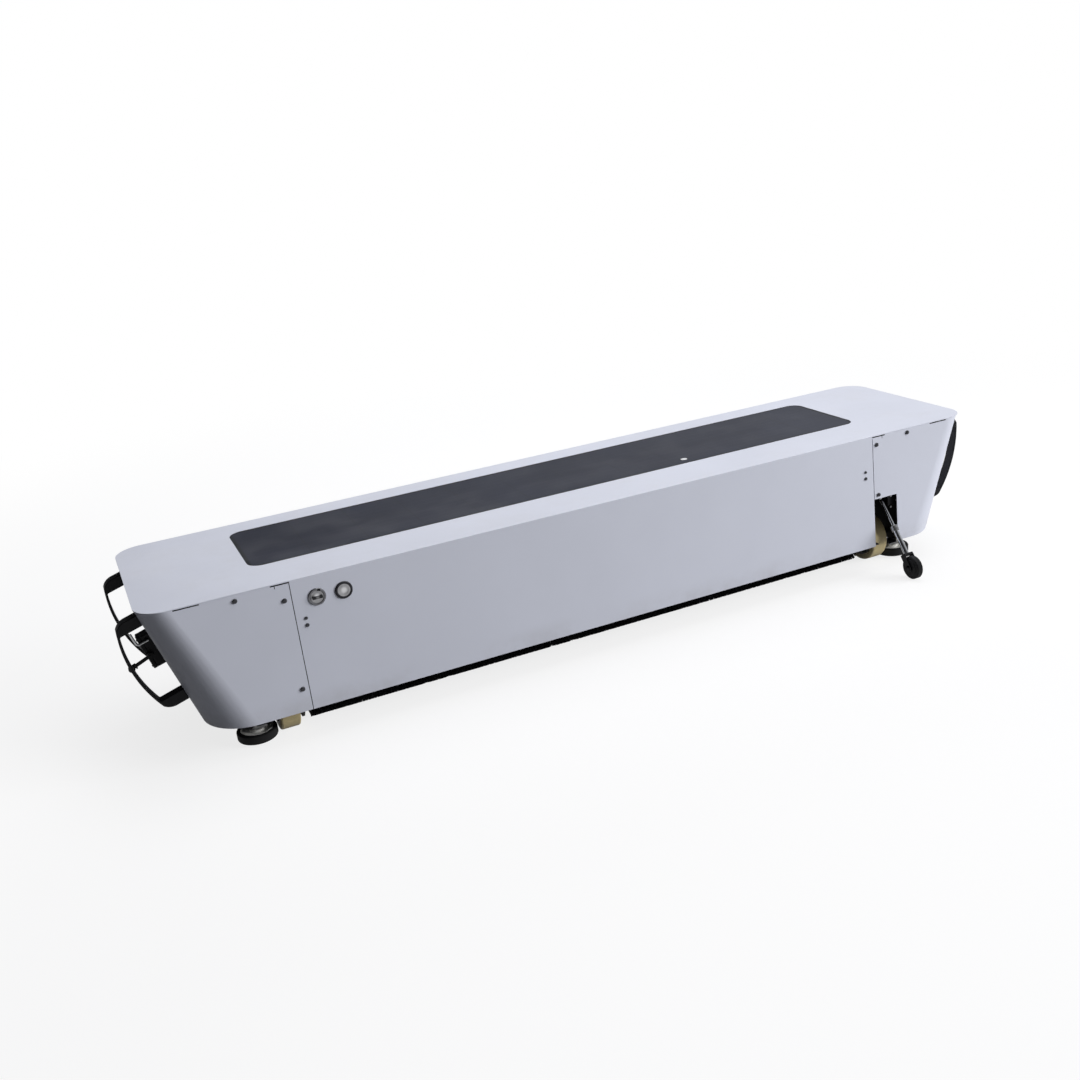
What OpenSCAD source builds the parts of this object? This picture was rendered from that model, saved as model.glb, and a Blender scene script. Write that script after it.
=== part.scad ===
// Solar panel cleaning robot: a long low hood on four driven wheels, with two
// roller brushes, guide wheels, switch levers at the corners and handles on the ends.
// X runs along the hood, the front faces -Y, and the ground is Z = 0.

/* [Hood] */
// Overall length over the top plate
body_l = 2000; // [1960:5:2300]
// Depth of the top plate, front to rear
body_w = 442; // [430:1:520]
// Height of the front face
hood_h = 278; // [262:1:330]
// Height of the hood's lower edge above the ground
edge_z = 66; // [62:1:72]
// Thickness of the hood and cover sheet
sheet_t = 2; // [1.5:0.1:2.6]
// Corner radius of the top plate
plate_r = 56; // [40:1:70]
// How far the front and rear faces lean out at their lower edge
face_lean = 13; // [6:1:16]
// Length of an end cover, from its seam to the end of the top plate
cover_l = 291.5; // [285:0.5:310]
// Width of a seam
seam_w = 1.6; // [1:0.1:2.5]
// Width of the folded lip at the lower edge
lip_w = 12; // [8:1:18]

/* [End covers] */
// How far an end wall leans in at its lower edge
end_taper = 84; // [60:1:100]
// Corner radius of a cover at its upper edge
cover_r_top = 62; // [50:1:80]
// Corner radius of a cover at its lower edge
cover_r_low = 98; // [60:1:104]
// Width of the fold under the top plate
fold_w = 14; // [10:1:20]
// Width of the lever notch, from the seam
notch_w = 67; // [60:1:70]
// Height of the lever notch above the hood's lower edge
notch_h = 120; // [112:1:130]
// Height of the slits under the top plate
slit_h = 2.4; // [1:0.1:3]

/* [Solar panel] */
// Length of the solar panel
solar_l = 1520; // [1200:10:1600]
// Depth of the solar panel
solar_w = 252; // [180:1:300]
// Thickness of the solar panel
solar_t = 3.2; // [2.4:0.1:5]
// Corner radius of the solar panel
solar_r = 30; // [8:1:40]
// Shift of the solar panel toward the rear
solar_y = 31; // [0:1:45]

/* [Frame] */
// Thickness of the side plates and end frames
frame_t = 6; // [4:0.5:8]
// Distance between a side plate and its end frame
bay_w = 87; // [86:1:94]
// Height of a side plate's lower edge above the ground
plate_z = 30; // [24:1:36]
// Size of the aluminium rails
rail_s = 30; // [20:1:36]
// Height of the rails' middle above the ground
rail_z = 252; // [235:1:260]
// Width of the flange behind each seam
flange_w = 20; // [14:1:26]
// Thickness of the deck sheet
deck_t = 1.5; // [1:0.1:2.5]

/* [Wheels] */
// Outer radius of a drive wheel
tyre_r = 57.6; // [55:0.1:60]
// Width of a drive wheel
tyre_w = 42; // [30:1:42]
// Thickness of the tyre
tyre_t = 14; // [8:1:18]
// Distance between the front and rear wheel axles
wheel_base = 282; // [270:1:300]
// Diameter of a wheel axle
axle_d = 15; // [12:0.5:18]
// Diameter of a toothed pulley on a wheel axle
pulley_d = 44; // [36:1:48]
// Width of the toothed pulleys
pulley_w = 12; // [8:1:14]
// Number of teeth on a wheel pulley
pulley_n = 28; // [20:1:36]

/* [Brushes] */
// Radius to the bristle tips
bristle_r = 56.8; // [50:0.1:57]
// Radius of the brush core
core_r = 25; // [18:0.5:30]
// Distance between the two brush axes
brush_base = 246; // [240:1:252]
// Strands in one strip
strand_n = 120; // [60:1:124]
// Turns that a strip makes round its core
strip_turns = 4; // [2:0.5:5]
// Width of a bristle strip
strip_w = 8; // [5:0.5:10]
// Height of a bristle strip
strip_h = 3.5; // [2:0.1:5]
// Diameter of a brush shaft
shaft_d = 16; // [12:0.5:20]

/* [Guide wheels] */
// Radius of a guide wheel
guide_r = 42; // [34:0.5:42.5]
// Thickness of a guide wheel
guide_w = 20; // [12:1:21]
// Height of a guide wheel above the ground
guide_z = 4; // [3:0.5:5]
// Distance between the front and rear guide wheels
guide_base = 316; // [300:1:324]
// Diameter of a guide wheel's axle
guide_d = 12; // [8:0.5:14]

/* [Switch levers] */
// Length of a lever from its pivot to its roller
lever_l = 193.4; // [185:0.1:200]
// Lean of a lever from the vertical
lever_a = 39.1; // [30:0.1:45]
// Diameter of the lever's rod
rod_d = 8; // [6:0.5:9]
// Diameter of the lever's sleeve
sleeve_d = 13; // [10:0.5:15]
// Radius of a lever's roller
roller_r = 28; // [20:0.5:28.5]
// Width of a lever's roller
roller_w = 20; // [14:1:22]
// Radius of the end switch's roller
tip_r = 7; // [5:0.5:9]

/* [Handles] */
// Length of a handle along the end wall
handle_l = 209; // [170:1:215]
// Height of a handle's bow above the wall
handle_h = 66; // [48:1:70]
// Width of a handle
handle_w = 24; // [18:1:30]
// Thickness of a handle's bow
bow_t = 5.5; // [5:0.5:12]
// Distance between the two handles of an end
handle_base = 268; // [180:1:272]

/* [Switches on the front] */
// Diameter of the push button's and key switch's rims
rim_d = 36; // [32:1:40]
// Diameter of the push button's cap
cap_d = 26; // [20:0.5:27]
// Travel of the push button
cap_travel = 3; // [1:0.5:5]

/* [Hidden] */
$fn = 64;

// Clearances
seat_gap = 0.3;
run_gap = 0.06;
cap_gap = 0.08;
bond_gap = 0.1;
fit_gap = 0.6;
over = 1;

// Heights and slopes of the hood
top_z = edge_z + hood_h;
under_z = top_z - sheet_t;
cover_z = under_z - seat_gap;
wall_a = atan(end_taper / hood_h);
face_a = atan(face_lean / hood_h);
function drop(z) = (top_z - z) / hood_h;
function face_y(z) = body_w / 2 + face_lean * drop(z);
function end_x(z) = body_l / 2 - end_taper * drop(z);
function cover_r(z) = cover_r_top + (cover_r_low - cover_r_top) * drop(z);

// Places along the hood, from the middle to an end
seam_x = body_l / 2 - cover_l;
plate_x = seam_x + 11.5;
plate_out = plate_x + frame_t;
frame_x = plate_out + bay_w;
wheel_x = plate_out + 4;
belt_x = wheel_x + tyre_w + 5;
notch_back = 42;
tray_rim = 14;
tray_floor = 2;
frame_top = top_z - solar_t - seat_gap - tray_floor - 2.5;

// Brush parts
brush_y = brush_base / 2;
block_t = 16;
block_r = 22;
core_l = 2 * (plate_x - block_t - 2);
strip_l = core_l - 24;
tube_t = 3;
tunnel_r = bristle_r + 8;

// Drive parts
wheel_y = wheel_base / 2;
motor_z = 150;
motor_r = 30;
motor_l = 95;
motor_face = 66;
motor_face_t = 8;
motor_pulley_d = 34;
motor_pulley_n = 22;
motor_shaft_d = 14;
belt_t = 2.5;
tooth_d = 3;

// Guide wheel parts
guide_y = guide_base / 2;
guide_x = frame_x + frame_t - 1;
bracket_t = 5;
bracket_w = 36;
bracket_gap = 5;

// Switch parts
pivot_y = body_w / 2 - 22;
pivot_z = edge_z + 113;
lever_x = wheel_x + 17;
hub_r = 10;
hub_w = 11;
pin_d = 6;
clamp_h = 14;
clamp_low = lever_l / 2 - 0.7;
end_pivot = [4, 30];
end_arm = [9, 75];

// Places of the front switches
button_x = 104.5 - seam_x;
key_x = 49.5 - seam_x;
button_z = top_z - 46;

// Rounded rectangle, centred
module round_rect(l, w, r) {
    square([l - 2 * r, w], center = true);
    square([l, w - 2 * r], center = true);
    for (x = [-1, 1], y = [-1, 1])
        translate([x * (l / 2 - r), y * (w / 2 - r)]) circle(r);
}

// Lays a profile drawn in Y and Z along X
module along_x(x0, x1) {
    translate([x0, 0, 0]) rotate([90, 0, 90]) linear_extrude(x1 - x0) children();
}

// Puts a turned shape's axis along X
module axis_x(x, y, z) {
    translate([x, y, z]) rotate([0, 90, 0]) children();
}

// The left end is the right end turned half a turn
module left() {
    rotate([0, 0, 180]) children();
}

// Top plate and middle faces
module face_sheet() {
    along_x(-seam_x + seam_w / 2, seam_x - seam_w / 2) polygon([
        [-face_y(top_z), top_z],
        [-face_y(edge_z), edge_z],
        [-face_y(edge_z) + lip_w, edge_z],
        [-face_y(edge_z) + lip_w, edge_z + sheet_t],
        [-face_y(edge_z + sheet_t) + sheet_t, edge_z + sheet_t],
        [-face_y(top_z) + sheet_t, top_z]
    ]);
}

module on_face(x, z) {
    translate([x, -face_y(z), z]) rotate([90 - face_a, 0, 0]) children();
}

module hood() {
    color([0.84, 0.85, 0.88]) difference() {
        union() {
            translate([0, 0, under_z]) linear_extrude(sheet_t) round_rect(body_l, body_w, plate_r);
            face_sheet();
            mirror([0, 1, 0]) face_sheet();
        }
        translate([0, solar_y, under_z - over]) linear_extrude(sheet_t + 2 * over)
            round_rect(solar_l + 2 * fit_gap, solar_w + 2 * fit_gap, solar_r + fit_gap);
        for (x = [button_x, key_x])
            on_face(x, button_z) cylinder(d = rim_d - 6, h = 8 * sheet_t, center = true);
    }
}

// End covers: a lofted shell whose corners open out toward the ground
arc_n = 12;
slit_l = 37;
function cover_ring(z, inset, x0) =
    let (r = cover_r(z) - inset, x = end_x(z) - inset - r, y = face_y(z) - inset - r)
    concat(
        [[x0, -y - r, z]],
        [for (i = [0:arc_n]) [x + r * sin(90 * i / arc_n), -y - r * cos(90 * i / arc_n), z]],
        [for (i = [0:arc_n]) [x + r * cos(90 * i / arc_n), y + r * sin(90 * i / arc_n), z]],
        [[x0, y + r, z]]
    );

module cover_loft(z0, z1, inset) {
    x0 = seam_x + seam_w / 2 - (inset > 0 ? over : 0);
    low = cover_ring(z0, inset, x0);
    high = cover_ring(z1, inset, x0);
    n = len(low);
    polyhedron(
        concat(low, high),
        concat(
            [[for (i = [0:n - 1]) i]],
            [[for (i = [0:n - 1]) 2 * n - 1 - i]],
            [for (i = [0:n - 1]) let (j = (i + 1) % n) each [[i, i + n, j], [j, i + n, j + n]]]
        )
    );
}

// Slits of a folded corner, under the top plate
module cover_slits() {
    slit_y = -face_y(cover_z);
    depth = sheet_t + 1.5;
    translate([seam_x - over, slit_y - 1, cover_z - slit_h])
        cube([slit_l + over, depth, slit_h + over]);
    translate([seam_x + slit_l - 9, slit_y - 1, cover_z - 8]) cube([seam_w, depth, 8 + over]);
    translate([end_x(top_z) - 118, slit_y - 1, cover_z - slit_h])
        cube([50, depth, slit_h + over]);
}

module cover() {
    fold_z = cover_z - sheet_t;
    difference() {
        cover_loft(edge_z, cover_z, 0);
        cover_loft(edge_z - over, fold_z, sheet_t);
        cover_loft(fold_z - over, cover_z + over, sheet_t + fold_w);
        translate([seam_x - over, -face_y(edge_z) - over, edge_z - over])
            cube([notch_w + over, 60, notch_h + over]);
        cover_slits();
        mirror([0, 1, 0]) cover_slits();
    }
}

module right_cover() {
    color([0.85, 0.86, 0.89]) cover();
}

module left_cover() {
    color([0.85, 0.86, 0.89]) left() cover();
}

// Solar panel in its shallow tray
module solar_panel() {
    color([0.27, 0.30, 0.35]) translate([0, solar_y, top_z - seat_gap - solar_t])
        linear_extrude(solar_t) round_rect(solar_l, solar_w, solar_r);
}

module solar_tray() {
    floor_z = top_z - seat_gap - solar_t;
    color([0.55, 0.57, 0.6]) difference() {
        translate([0, solar_y, floor_z - tray_floor]) linear_extrude(under_z - floor_z + tray_floor)
            round_rect(solar_l + 2 * tray_rim, solar_w + 2 * tray_rim, solar_r + tray_rim);
        translate([0, solar_y, floor_z]) linear_extrude(solar_t + over)
            round_rect(solar_l + 2 * fit_gap, solar_w + 2 * fit_gap, solar_r + fit_gap);
    }
}

// Side plate and end frame profiles, which follow the inside of the hood
function inner_y(z) = face_y(z) - sheet_t - seat_gap;
module plate_profile(low_z, low_y) {
    polygon([
        [-low_y, low_z], [low_y, low_z],
        [inner_y(edge_z) - 20, edge_z], [inner_y(edge_z + 20), edge_z + 20],
        [inner_y(frame_top - 20), frame_top - 20], [inner_y(frame_top) - 20, frame_top],
        [-inner_y(frame_top) + 20, frame_top], [-inner_y(frame_top - 20), frame_top - 20],
        [-inner_y(edge_z + 20), edge_z + 20], [-inner_y(edge_z) + 20, edge_z]
    ]);
}

module axle_holes(x) {
    for (y = [-wheel_y, wheel_y])
        axis_x(x - over, y, tyre_r) cylinder(d = axle_d + 2 * run_gap, h = frame_t + 2 * over);
}

// Flange behind a seam, which closes the joint between hood and cover
module seam_flange() {
    low_z = deck_z + deck_t + seat_gap;
    along_x(plate_x - flange_w, plate_x + over) polygon([
        [-inner_y(low_z), low_z], [-inner_y(frame_top - 20), frame_top - 20],
        [-inner_y(frame_top - 20) + sheet_t, frame_top - 20], [-inner_y(low_z) + sheet_t, low_z]
    ]);
}

module side_plate() {
    difference() {
        union() {
            along_x(plate_x, plate_out) plate_profile(plate_z, wheel_y + 40);
            seam_flange();
            mirror([0, 1, 0]) seam_flange();
        }
        axle_holes(plate_x);
        translate([plate_x - flange_w - over, -body_w, 0])
            cube([flange_w + frame_t + 2 * over, body_w - wheel_y - notch_back, edge_z + notch_h + 4]);
        axis_x(plate_x - over, 0, motor_z) cylinder(d = motor_shaft_d + 12, h = frame_t + 2 * over);
        for (y = [-110, 110])
            axis_x(plate_x - over, y, 200) cylinder(d = 70, h = frame_t + 2 * over);
    }
}

module left_side_plate() {
    color([0.16, 0.16, 0.17]) left() side_plate();
}

module right_side_plate() {
    color([0.16, 0.16, 0.17]) side_plate();
}

// End frame: outer plate with four welded spacer posts
module end_frame() {
    difference() {
        union() {
            along_x(frame_x, frame_x + frame_t) plate_profile(plate_z + 10, wheel_y + 20);
            for (y = [-150, 150], z = [230, 300])
                axis_x(plate_out, y, z) cylinder(d = 16, h = bay_w + over);
        }
        axle_holes(frame_x);
        for (y = [-90, 90])
            axis_x(frame_x - over, y, 190) cylinder(d = 90, h = frame_t + 2 * over);
    }
}

module left_end_frame() {
    color([0.2, 0.2, 0.21]) left() end_frame();
}

module right_end_frame() {
    color([0.2, 0.2, 0.21]) end_frame();
}

// Slotted aluminium rails behind the front and rear faces
rail_y = inner_y(rail_z + rail_s / 2) - sheet_t - seat_gap - rail_s / 2;
module rail_profile() {
    slot = rail_s * 0.27;
    wide = rail_s * 0.55;
    difference() {
        round_rect(rail_s, rail_s, 1.5);
        circle(d = rail_s * 0.23);
        for (a = [0:90:270]) rotate(a) {
            translate([rail_s / 2 - 3, -slot / 2]) square([4, slot]);
            translate([rail_s / 2, 0]) polygon([
                [-2.2, -wide / 2], [-2.2, wide / 2],
                [-4.6, wide / 2], [-9, slot / 2],
                [-9, -slot / 2], [-4.6, -wide / 2]
            ]);
        }
    }
}

module rail() {
    along_x(-plate_x, plate_x) translate([-rail_y, rail_z]) rail_profile();
}

module front_rail() {
    color([0.75, 0.76, 0.78]) rail();
}

module rear_rail() {
    color([0.75, 0.76, 0.78]) mirror([0, 1, 0]) rail();
}

// Deck with a half-round tunnel over each brush
deck_z = edge_z + sheet_t;
module deck_profile() {
    difference() {
        union() {
            translate([-inner_y(deck_z + deck_t), deck_z]) square([2 * inner_y(deck_z + deck_t), deck_t]);
            for (y = [-brush_y, brush_y]) translate([y, tyre_r]) circle(tunnel_r + deck_t);
        }
        for (y = [-brush_y, brush_y]) translate([y, tyre_r]) circle(tunnel_r);
        translate([-body_w, deck_z - body_w]) square([2 * body_w, body_w]);
    }
}

module deck() {
    color([0.3, 0.31, 0.33]) along_x(-plate_x, plate_x) deck_profile();
}

// Battery and controller stand on the two tunnels
tunnel_top = tyre_r + tunnel_r + deck_t + seat_gap;
free_x = -30;
free_l = 330;
battery_l = 330;
battery_h = 96;
controller_l = 250;
controller_h = 60;
fin_h = 12;
fin_t = 4;
fin_step = 20;
module battery() {
    color([0.15, 0.15, 0.16]) translate([free_x - free_l / 2 - battery_l / 2, 0, tunnel_top])
        linear_extrude(battery_h) round_rect(battery_l, brush_base + 24, 14);
}

module controller() {
    color([0.45, 0.47, 0.5]) translate([free_x + free_l / 2 + controller_l / 2, 0, tunnel_top]) {
        linear_extrude(controller_h) round_rect(controller_l, brush_base + 24, 8);
        for (x = [-controller_l * 0.4:fin_step:controller_l * 0.41])
            translate([x, 0, controller_h]) linear_extrude(fin_h) square([fin_t, brush_base - 20], center = true);
    }
}

// Gear motor behind the side plate, its toothed pulley and the belt to both axles
module drive_motor() {
    axis_x(plate_x - motor_l, 0, motor_z) cylinder(r = motor_r, h = motor_l - motor_face_t);
    axis_x(plate_x - motor_face_t, 0, motor_z)
        linear_extrude(motor_face_t) round_rect(motor_face, motor_face, motor_face_t);
    axis_x(plate_x - over, 0, motor_z) cylinder(d = motor_shaft_d, h = belt_x - plate_x + over - 1);
}

module toothed(d, n) {
    difference() {
        circle(d = d);
        for (i = [0:n - 1]) rotate(360 * i / n) translate([d / 2, 0]) circle(d = tooth_d, $fn = 6);
    }
}

module motor_pulley() {
    axis_x(belt_x, 0, motor_z) {
        difference() {
            union() {
                linear_extrude(pulley_w) toothed(motor_pulley_d, motor_pulley_n);
                translate([0, 0, -26]) cylinder(d = 24, h = 27);
            }
            translate([0, 0, -27]) cylinder(d = motor_shaft_d + 2 * run_gap, h = 27);
        }
    }
}

module drive_belt() {
    along_x(belt_x + 1, belt_x + pulley_w - 1) difference() {
        hull() belt_circles(seat_gap + belt_t);
        hull() belt_circles(seat_gap);
    }
}

module belt_circles(grow) {
    for (y = [-wheel_y, wheel_y]) translate([y, tyre_r]) circle(pulley_d / 2 + grow);
    translate([0, motor_z]) circle(motor_pulley_d / 2 + grow);
}

module left_drive_motor() {
    color([0.35, 0.36, 0.38]) left() drive_motor();
}

module right_drive_motor() {
    color([0.35, 0.36, 0.38]) drive_motor();
}

module left_motor_pulley() {
    color([0.7, 0.71, 0.73]) left() motor_pulley();
}

module right_motor_pulley() {
    color([0.7, 0.71, 0.73]) motor_pulley();
}

module left_drive_belt() {
    color([0.1, 0.1, 0.1]) left() drive_belt();
}

module right_drive_belt() {
    color([0.1, 0.1, 0.1]) drive_belt();
}

// Drive wheel at the front of the right end: hub, axle and pulley turn together
module hub(y) {
    rim_r = tyre_r - tyre_t - bond_gap;
    axis_x(wheel_x, y, tyre_r) {
        difference() {
            union() {
                difference() {
                    cylinder(r = rim_r, h = tyre_w);
                    translate([0, 0, -over]) cylinder(r = rim_r - 5, h = tyre_w + 2 * over);
                }
                translate([0, 0, tyre_w / 2 - 4]) cylinder(r = rim_r - 4, h = 8);
                cylinder(r = axle_d / 2 + 6, h = tyre_w + 2);
            }
            for (a = [0:60:300]) rotate(a) translate([(rim_r + axle_d / 2) / 2 + 0.5, 0, -over])
                cylinder(r = (rim_r - axle_d / 2 - 6 - 9) / 2 - 0.5, h = tyre_w + 2 * over);
        }
        translate([0, 0, plate_x - wheel_x + 0.5])
            cylinder(d = axle_d, h = frame_x + frame_t - plate_x - 1);
        translate([0, 0, belt_x - wheel_x]) linear_extrude(pulley_w) toothed(pulley_d, pulley_n);
    }
}

module tyre(y) {
    edge = 4;
    axis_x(wheel_x, y, tyre_r) rotate_extrude($fn = 96) polygon([
        [tyre_r - tyre_t, 0], [tyre_r - edge, 0],
        [tyre_r - edge * 0.3, edge * 0.3], [tyre_r, edge],
        [tyre_r, tyre_w - edge], [tyre_r - edge * 0.3, tyre_w - edge * 0.3],
        [tyre_r - edge, tyre_w], [tyre_r - tyre_t, tyre_w]
    ]);
}

module front_right_hub() {
    color([0.5, 0.51, 0.53]) hub(-wheel_y);
}

module rear_right_hub() {
    color([0.5, 0.51, 0.53]) hub(wheel_y);
}

module rear_left_hub() {
    color([0.5, 0.51, 0.53]) left() hub(-wheel_y);
}

module front_left_hub() {
    color([0.5, 0.51, 0.53]) left() hub(wheel_y);
}

module front_right_tyre() {
    color([0.78, 0.66, 0.38]) tyre(-wheel_y);
}

module rear_right_tyre() {
    color([0.78, 0.66, 0.38]) tyre(wheel_y);
}

module rear_left_tyre() {
    color([0.78, 0.66, 0.38]) left() tyre(-wheel_y);
}

module front_left_tyre() {
    color([0.78, 0.66, 0.38]) left() tyre(wheel_y);
}

// Brush cores: a tube with closed ends and stub shafts
module brush_core(y) {
    axis_x(0, y, tyre_r) {
        difference() {
            cylinder(r = core_r, h = core_l, center = true);
            cylinder(r = core_r - tube_t, h = core_l - 16, center = true);
        }
        for (s = [-1, 1]) translate([0, 0, s * (core_l / 2 + block_t / 2)])
            cylinder(d = shaft_d, h = block_t + 2, center = true);
    }
}

module front_brush_core() {
    color([0.62, 0.64, 0.66]) brush_core(-brush_y);
}

module rear_brush_core() {
    color([0.62, 0.64, 0.66]) brush_core(brush_y);
}

// Bearing blocks on the inner faces of the side plates
module brush_bearings() {
    color([0.25, 0.26, 0.28]) for (s = [-1, 1], y = [-brush_y, brush_y])
        axis_x(s * (plate_x - block_t / 2), y, tyre_r) difference() {
            union() {
                cylinder(r = block_r, h = block_t, center = true);
                translate([-block_r, 0, 0]) cube([2 * block_r, 1.6 * block_r, block_t], center = true);
            }
            cylinder(d = shaft_d + 2 * run_gap, h = block_t + 2 * over, center = true);
        }
}

// Bristle strips: a helical backing whose outer face carries one strand on every step
strip_r = core_r + 0.6;
strip_b = atan(strip_turns * 360 * (PI / 180) * core_r / strip_l);
function strip_at(i, r, s, start) =
    let (a = strip_turns * 360 * i / strand_n + start, x = strip_l * (i / strand_n - 0.5))
    [x - s * sin(strip_b), r * cos(a) - s * cos(strip_b) * sin(a), r * sin(a) + s * cos(strip_b) * cos(a)];

function strip_points(start) =
    let (h = strip_w / 2, r1 = strip_r + strip_h)
    concat(
        [for (i = [0:strand_n]) each [
            strip_at(i, strip_r, -h, start), strip_at(i, strip_r, h, start),
            strip_at(i, r1, h, start), strip_at(i, r1, -h, start)
        ]],
        [for (i = [0:strand_n - 1]) each [
            strip_at(i + 0.26, bristle_r, -h / 2, start), strip_at(i + 0.26, bristle_r, h / 2, start),
            strip_at(i + 0.74, bristle_r, h / 2, start), strip_at(i + 0.74, bristle_r, -h / 2, start)
        ]]
    );

function two(a, b, c, d) = [[a, b, c], [a, c, d]];
function strip_faces() =
    let (top = 4 * (strand_n + 1))
    concat(
        two(0, 1, 2, 3),
        two(top - 4, top - 1, top - 2, top - 3),
        [for (i = [0:strand_n - 1]) let (a = 4 * i, b = a + 4, t = top + 4 * i) each concat(
            two(a, b, b + 1, a + 1),
            two(a + 1, b + 1, b + 2, a + 2),
            two(a + 3, b + 3, b, a),
            two(a + 2, t + 1, t, a + 3),
            two(b + 2, t + 2, t + 1, a + 2),
            two(b + 3, t + 3, t + 2, b + 2),
            two(a + 3, t, t + 3, b + 3),
            two(t, t + 1, t + 2, t + 3)
        )]
    );

module bristles() {
    for (start = [0, 180]) polyhedron(strip_points(start), strip_faces());
}

module front_bristles() {
    color([0.07, 0.07, 0.08]) translate([0, -brush_y, tyre_r]) bristles();
}

module rear_bristles() {
    color([0.07, 0.07, 0.08]) translate([0, brush_y, tyre_r]) mirror([0, 1, 0]) bristles();
}

// Guide wheel on its bracket under the end frame
module guide_bracket(y) {
    arm_z = guide_z + guide_w + bracket_gap;
    translate([frame_x + frame_t, y - bracket_w / 2, arm_z]) cube([bracket_t, bracket_w, 66]);
    translate([guide_x - 20, y - bracket_w / 2, arm_z])
        cube([frame_x + frame_t + bracket_t - guide_x + 20, bracket_w, bracket_t]);
    translate([guide_x, y, guide_z + guide_w + seat_gap]) cylinder(r = guide_d / 2 + 5, h = bracket_gap);
    translate([guide_x, y, guide_z - 2.6]) cylinder(d = guide_d, h = guide_w + bracket_gap + 4);
    translate([guide_x, y, guide_z - 2.8]) cylinder(r = guide_d / 2 + 4, h = 2.5);
}

module guide_wheel(y) {
    edge = 2.5;
    bore_r = guide_d / 2 + run_gap;
    translate([guide_x, y, guide_z]) rotate_extrude($fn = 96) polygon([
        [bore_r, 0], [guide_r - edge, 0], [guide_r, edge],
        [guide_r, guide_w - edge], [guide_r - edge, guide_w],
        [guide_r * 0.72, guide_w], [guide_r * 0.66, guide_w - 4],
        [guide_r * 0.4, guide_w - 4], [guide_r * 0.34, guide_w], [bore_r, guide_w]
    ]);
}

module front_right_guide_bracket() {
    color([0.3, 0.31, 0.32]) guide_bracket(-guide_y);
}

module rear_right_guide_bracket() {
    color([0.3, 0.31, 0.32]) guide_bracket(guide_y);
}

module rear_left_guide_bracket() {
    color([0.3, 0.31, 0.32]) left() guide_bracket(-guide_y);
}

module front_left_guide_bracket() {
    color([0.3, 0.31, 0.32]) left() guide_bracket(guide_y);
}

module front_right_guide_wheel() {
    color([0.9, 0.9, 0.88]) guide_wheel(-guide_y);
}

module rear_right_guide_wheel() {
    color([0.9, 0.9, 0.88]) guide_wheel(guide_y);
}

module rear_left_guide_wheel() {
    color([0.9, 0.9, 0.88]) left() guide_wheel(-guide_y);
}

module front_left_guide_wheel() {
    color([0.9, 0.9, 0.88]) left() guide_wheel(guide_y);
}

// Corner switch: body on the end frame, lever with a forked roller
switch_body = [34, 38, 62];
switch_low = [18, 22];
foot_w = 28;
foot_h = 42;
foot_low = [10, 12];
collar_l = 3;
module corner_switch() {
    body_x = lever_x + hub_w / 2 + collar_l + 3.5;
    foot_x = body_x + switch_body[0] - 1;
    translate([body_x, -pivot_y - switch_low[0], pivot_z - switch_low[1]]) cube(switch_body);
    translate([foot_x, -pivot_y - foot_low[0], pivot_z - foot_low[1]])
        cube([frame_x - foot_x, foot_w, foot_h]);
    axis_x(lever_x - hub_w / 2 - 1, -pivot_y, pivot_z) cylinder(d = rod_d, h = body_x - lever_x + hub_w / 2 + 2.5);
    axis_x(body_x - collar_l, -pivot_y, pivot_z) cylinder(d = 2 * rod_d, h = collar_l + 1);
}

// Lever drawn hanging straight down from its pivot, then leant forward
module corner_lever() {
    fork_w = roller_w / 2 + 0.8;
    arm_t = 2.6;
    yoke = lever_l - roller_r - 3;
    translate([lever_x, -pivot_y, pivot_z]) rotate([-lever_a, 0, 0]) difference() {
        union() {
            axis_x(-hub_w / 2, 0, 0) cylinder(r = hub_r, h = hub_w);
            translate([0, 0, over - clamp_low]) cylinder(d = rod_d, h = clamp_low + over - hub_r);
            translate([0, 0, -yoke]) cylinder(d = sleeve_d, h = yoke - clamp_low + clamp_h);
            translate([0, 0, -clamp_low]) cylinder(d = sleeve_d + 5, h = clamp_h);
            translate([-fork_w - arm_t, -8, -yoke - 0.4]) cube([2 * (fork_w + arm_t), 16, 6]);
            for (s = [-1, 1]) {
                translate([s * (fork_w + arm_t / 2) - arm_t / 2, -8, -lever_l]) cube([arm_t, 16, lever_l - yoke + 2]);
                axis_x(s * (fork_w + arm_t / 2) - arm_t / 2, 0, -lever_l) cylinder(r = 8, h = arm_t);
            }
            axis_x(-fork_w - arm_t - 1, 0, -lever_l) cylinder(d = pin_d, h = 2 * (fork_w + arm_t + 1));
        }
        axis_x(-hub_w, 0, 0) cylinder(d = rod_d + 2 * run_gap, h = 2 * hub_w);
    }
}

module corner_roller() {
    translate([lever_x, -pivot_y, pivot_z]) rotate([-lever_a, 0, 0])
        axis_x(-roller_w / 2, 0, -lever_l) rotate_extrude($fn = 72) polygon([
            [pin_d / 2 + run_gap, 0], [roller_r - 9, 0], [roller_r - 7, 2], [roller_r - 2, 2],
            [roller_r, 4], [roller_r, roller_w - 4], [roller_r - 2, roller_w - 2],
            [roller_r - 7, roller_w - 2], [roller_r - 9, roller_w], [pin_d / 2 + run_gap, roller_w]
        ]);
}

module front_switch() {
    color([0.14, 0.14, 0.15]) corner_switch();
}

module front_lever() {
    color([0.8, 0.81, 0.83]) corner_lever();
}

module front_roller() {
    color([0.08, 0.08, 0.09]) corner_roller();
}

module rear_switch() {
    color([0.14, 0.14, 0.15]) left() corner_switch();
}

module rear_lever() {
    color([0.8, 0.81, 0.83]) left() corner_lever();
}

module rear_roller() {
    color([0.08, 0.08, 0.09]) left() corner_roller();
}

// Puts a shape on an end wall: Z points out of the wall and X down its slope
module on_wall(y, z) {
    translate([end_x(z), y, z]) rotate([0, 90 + wall_a, 0]) children();
}

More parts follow.
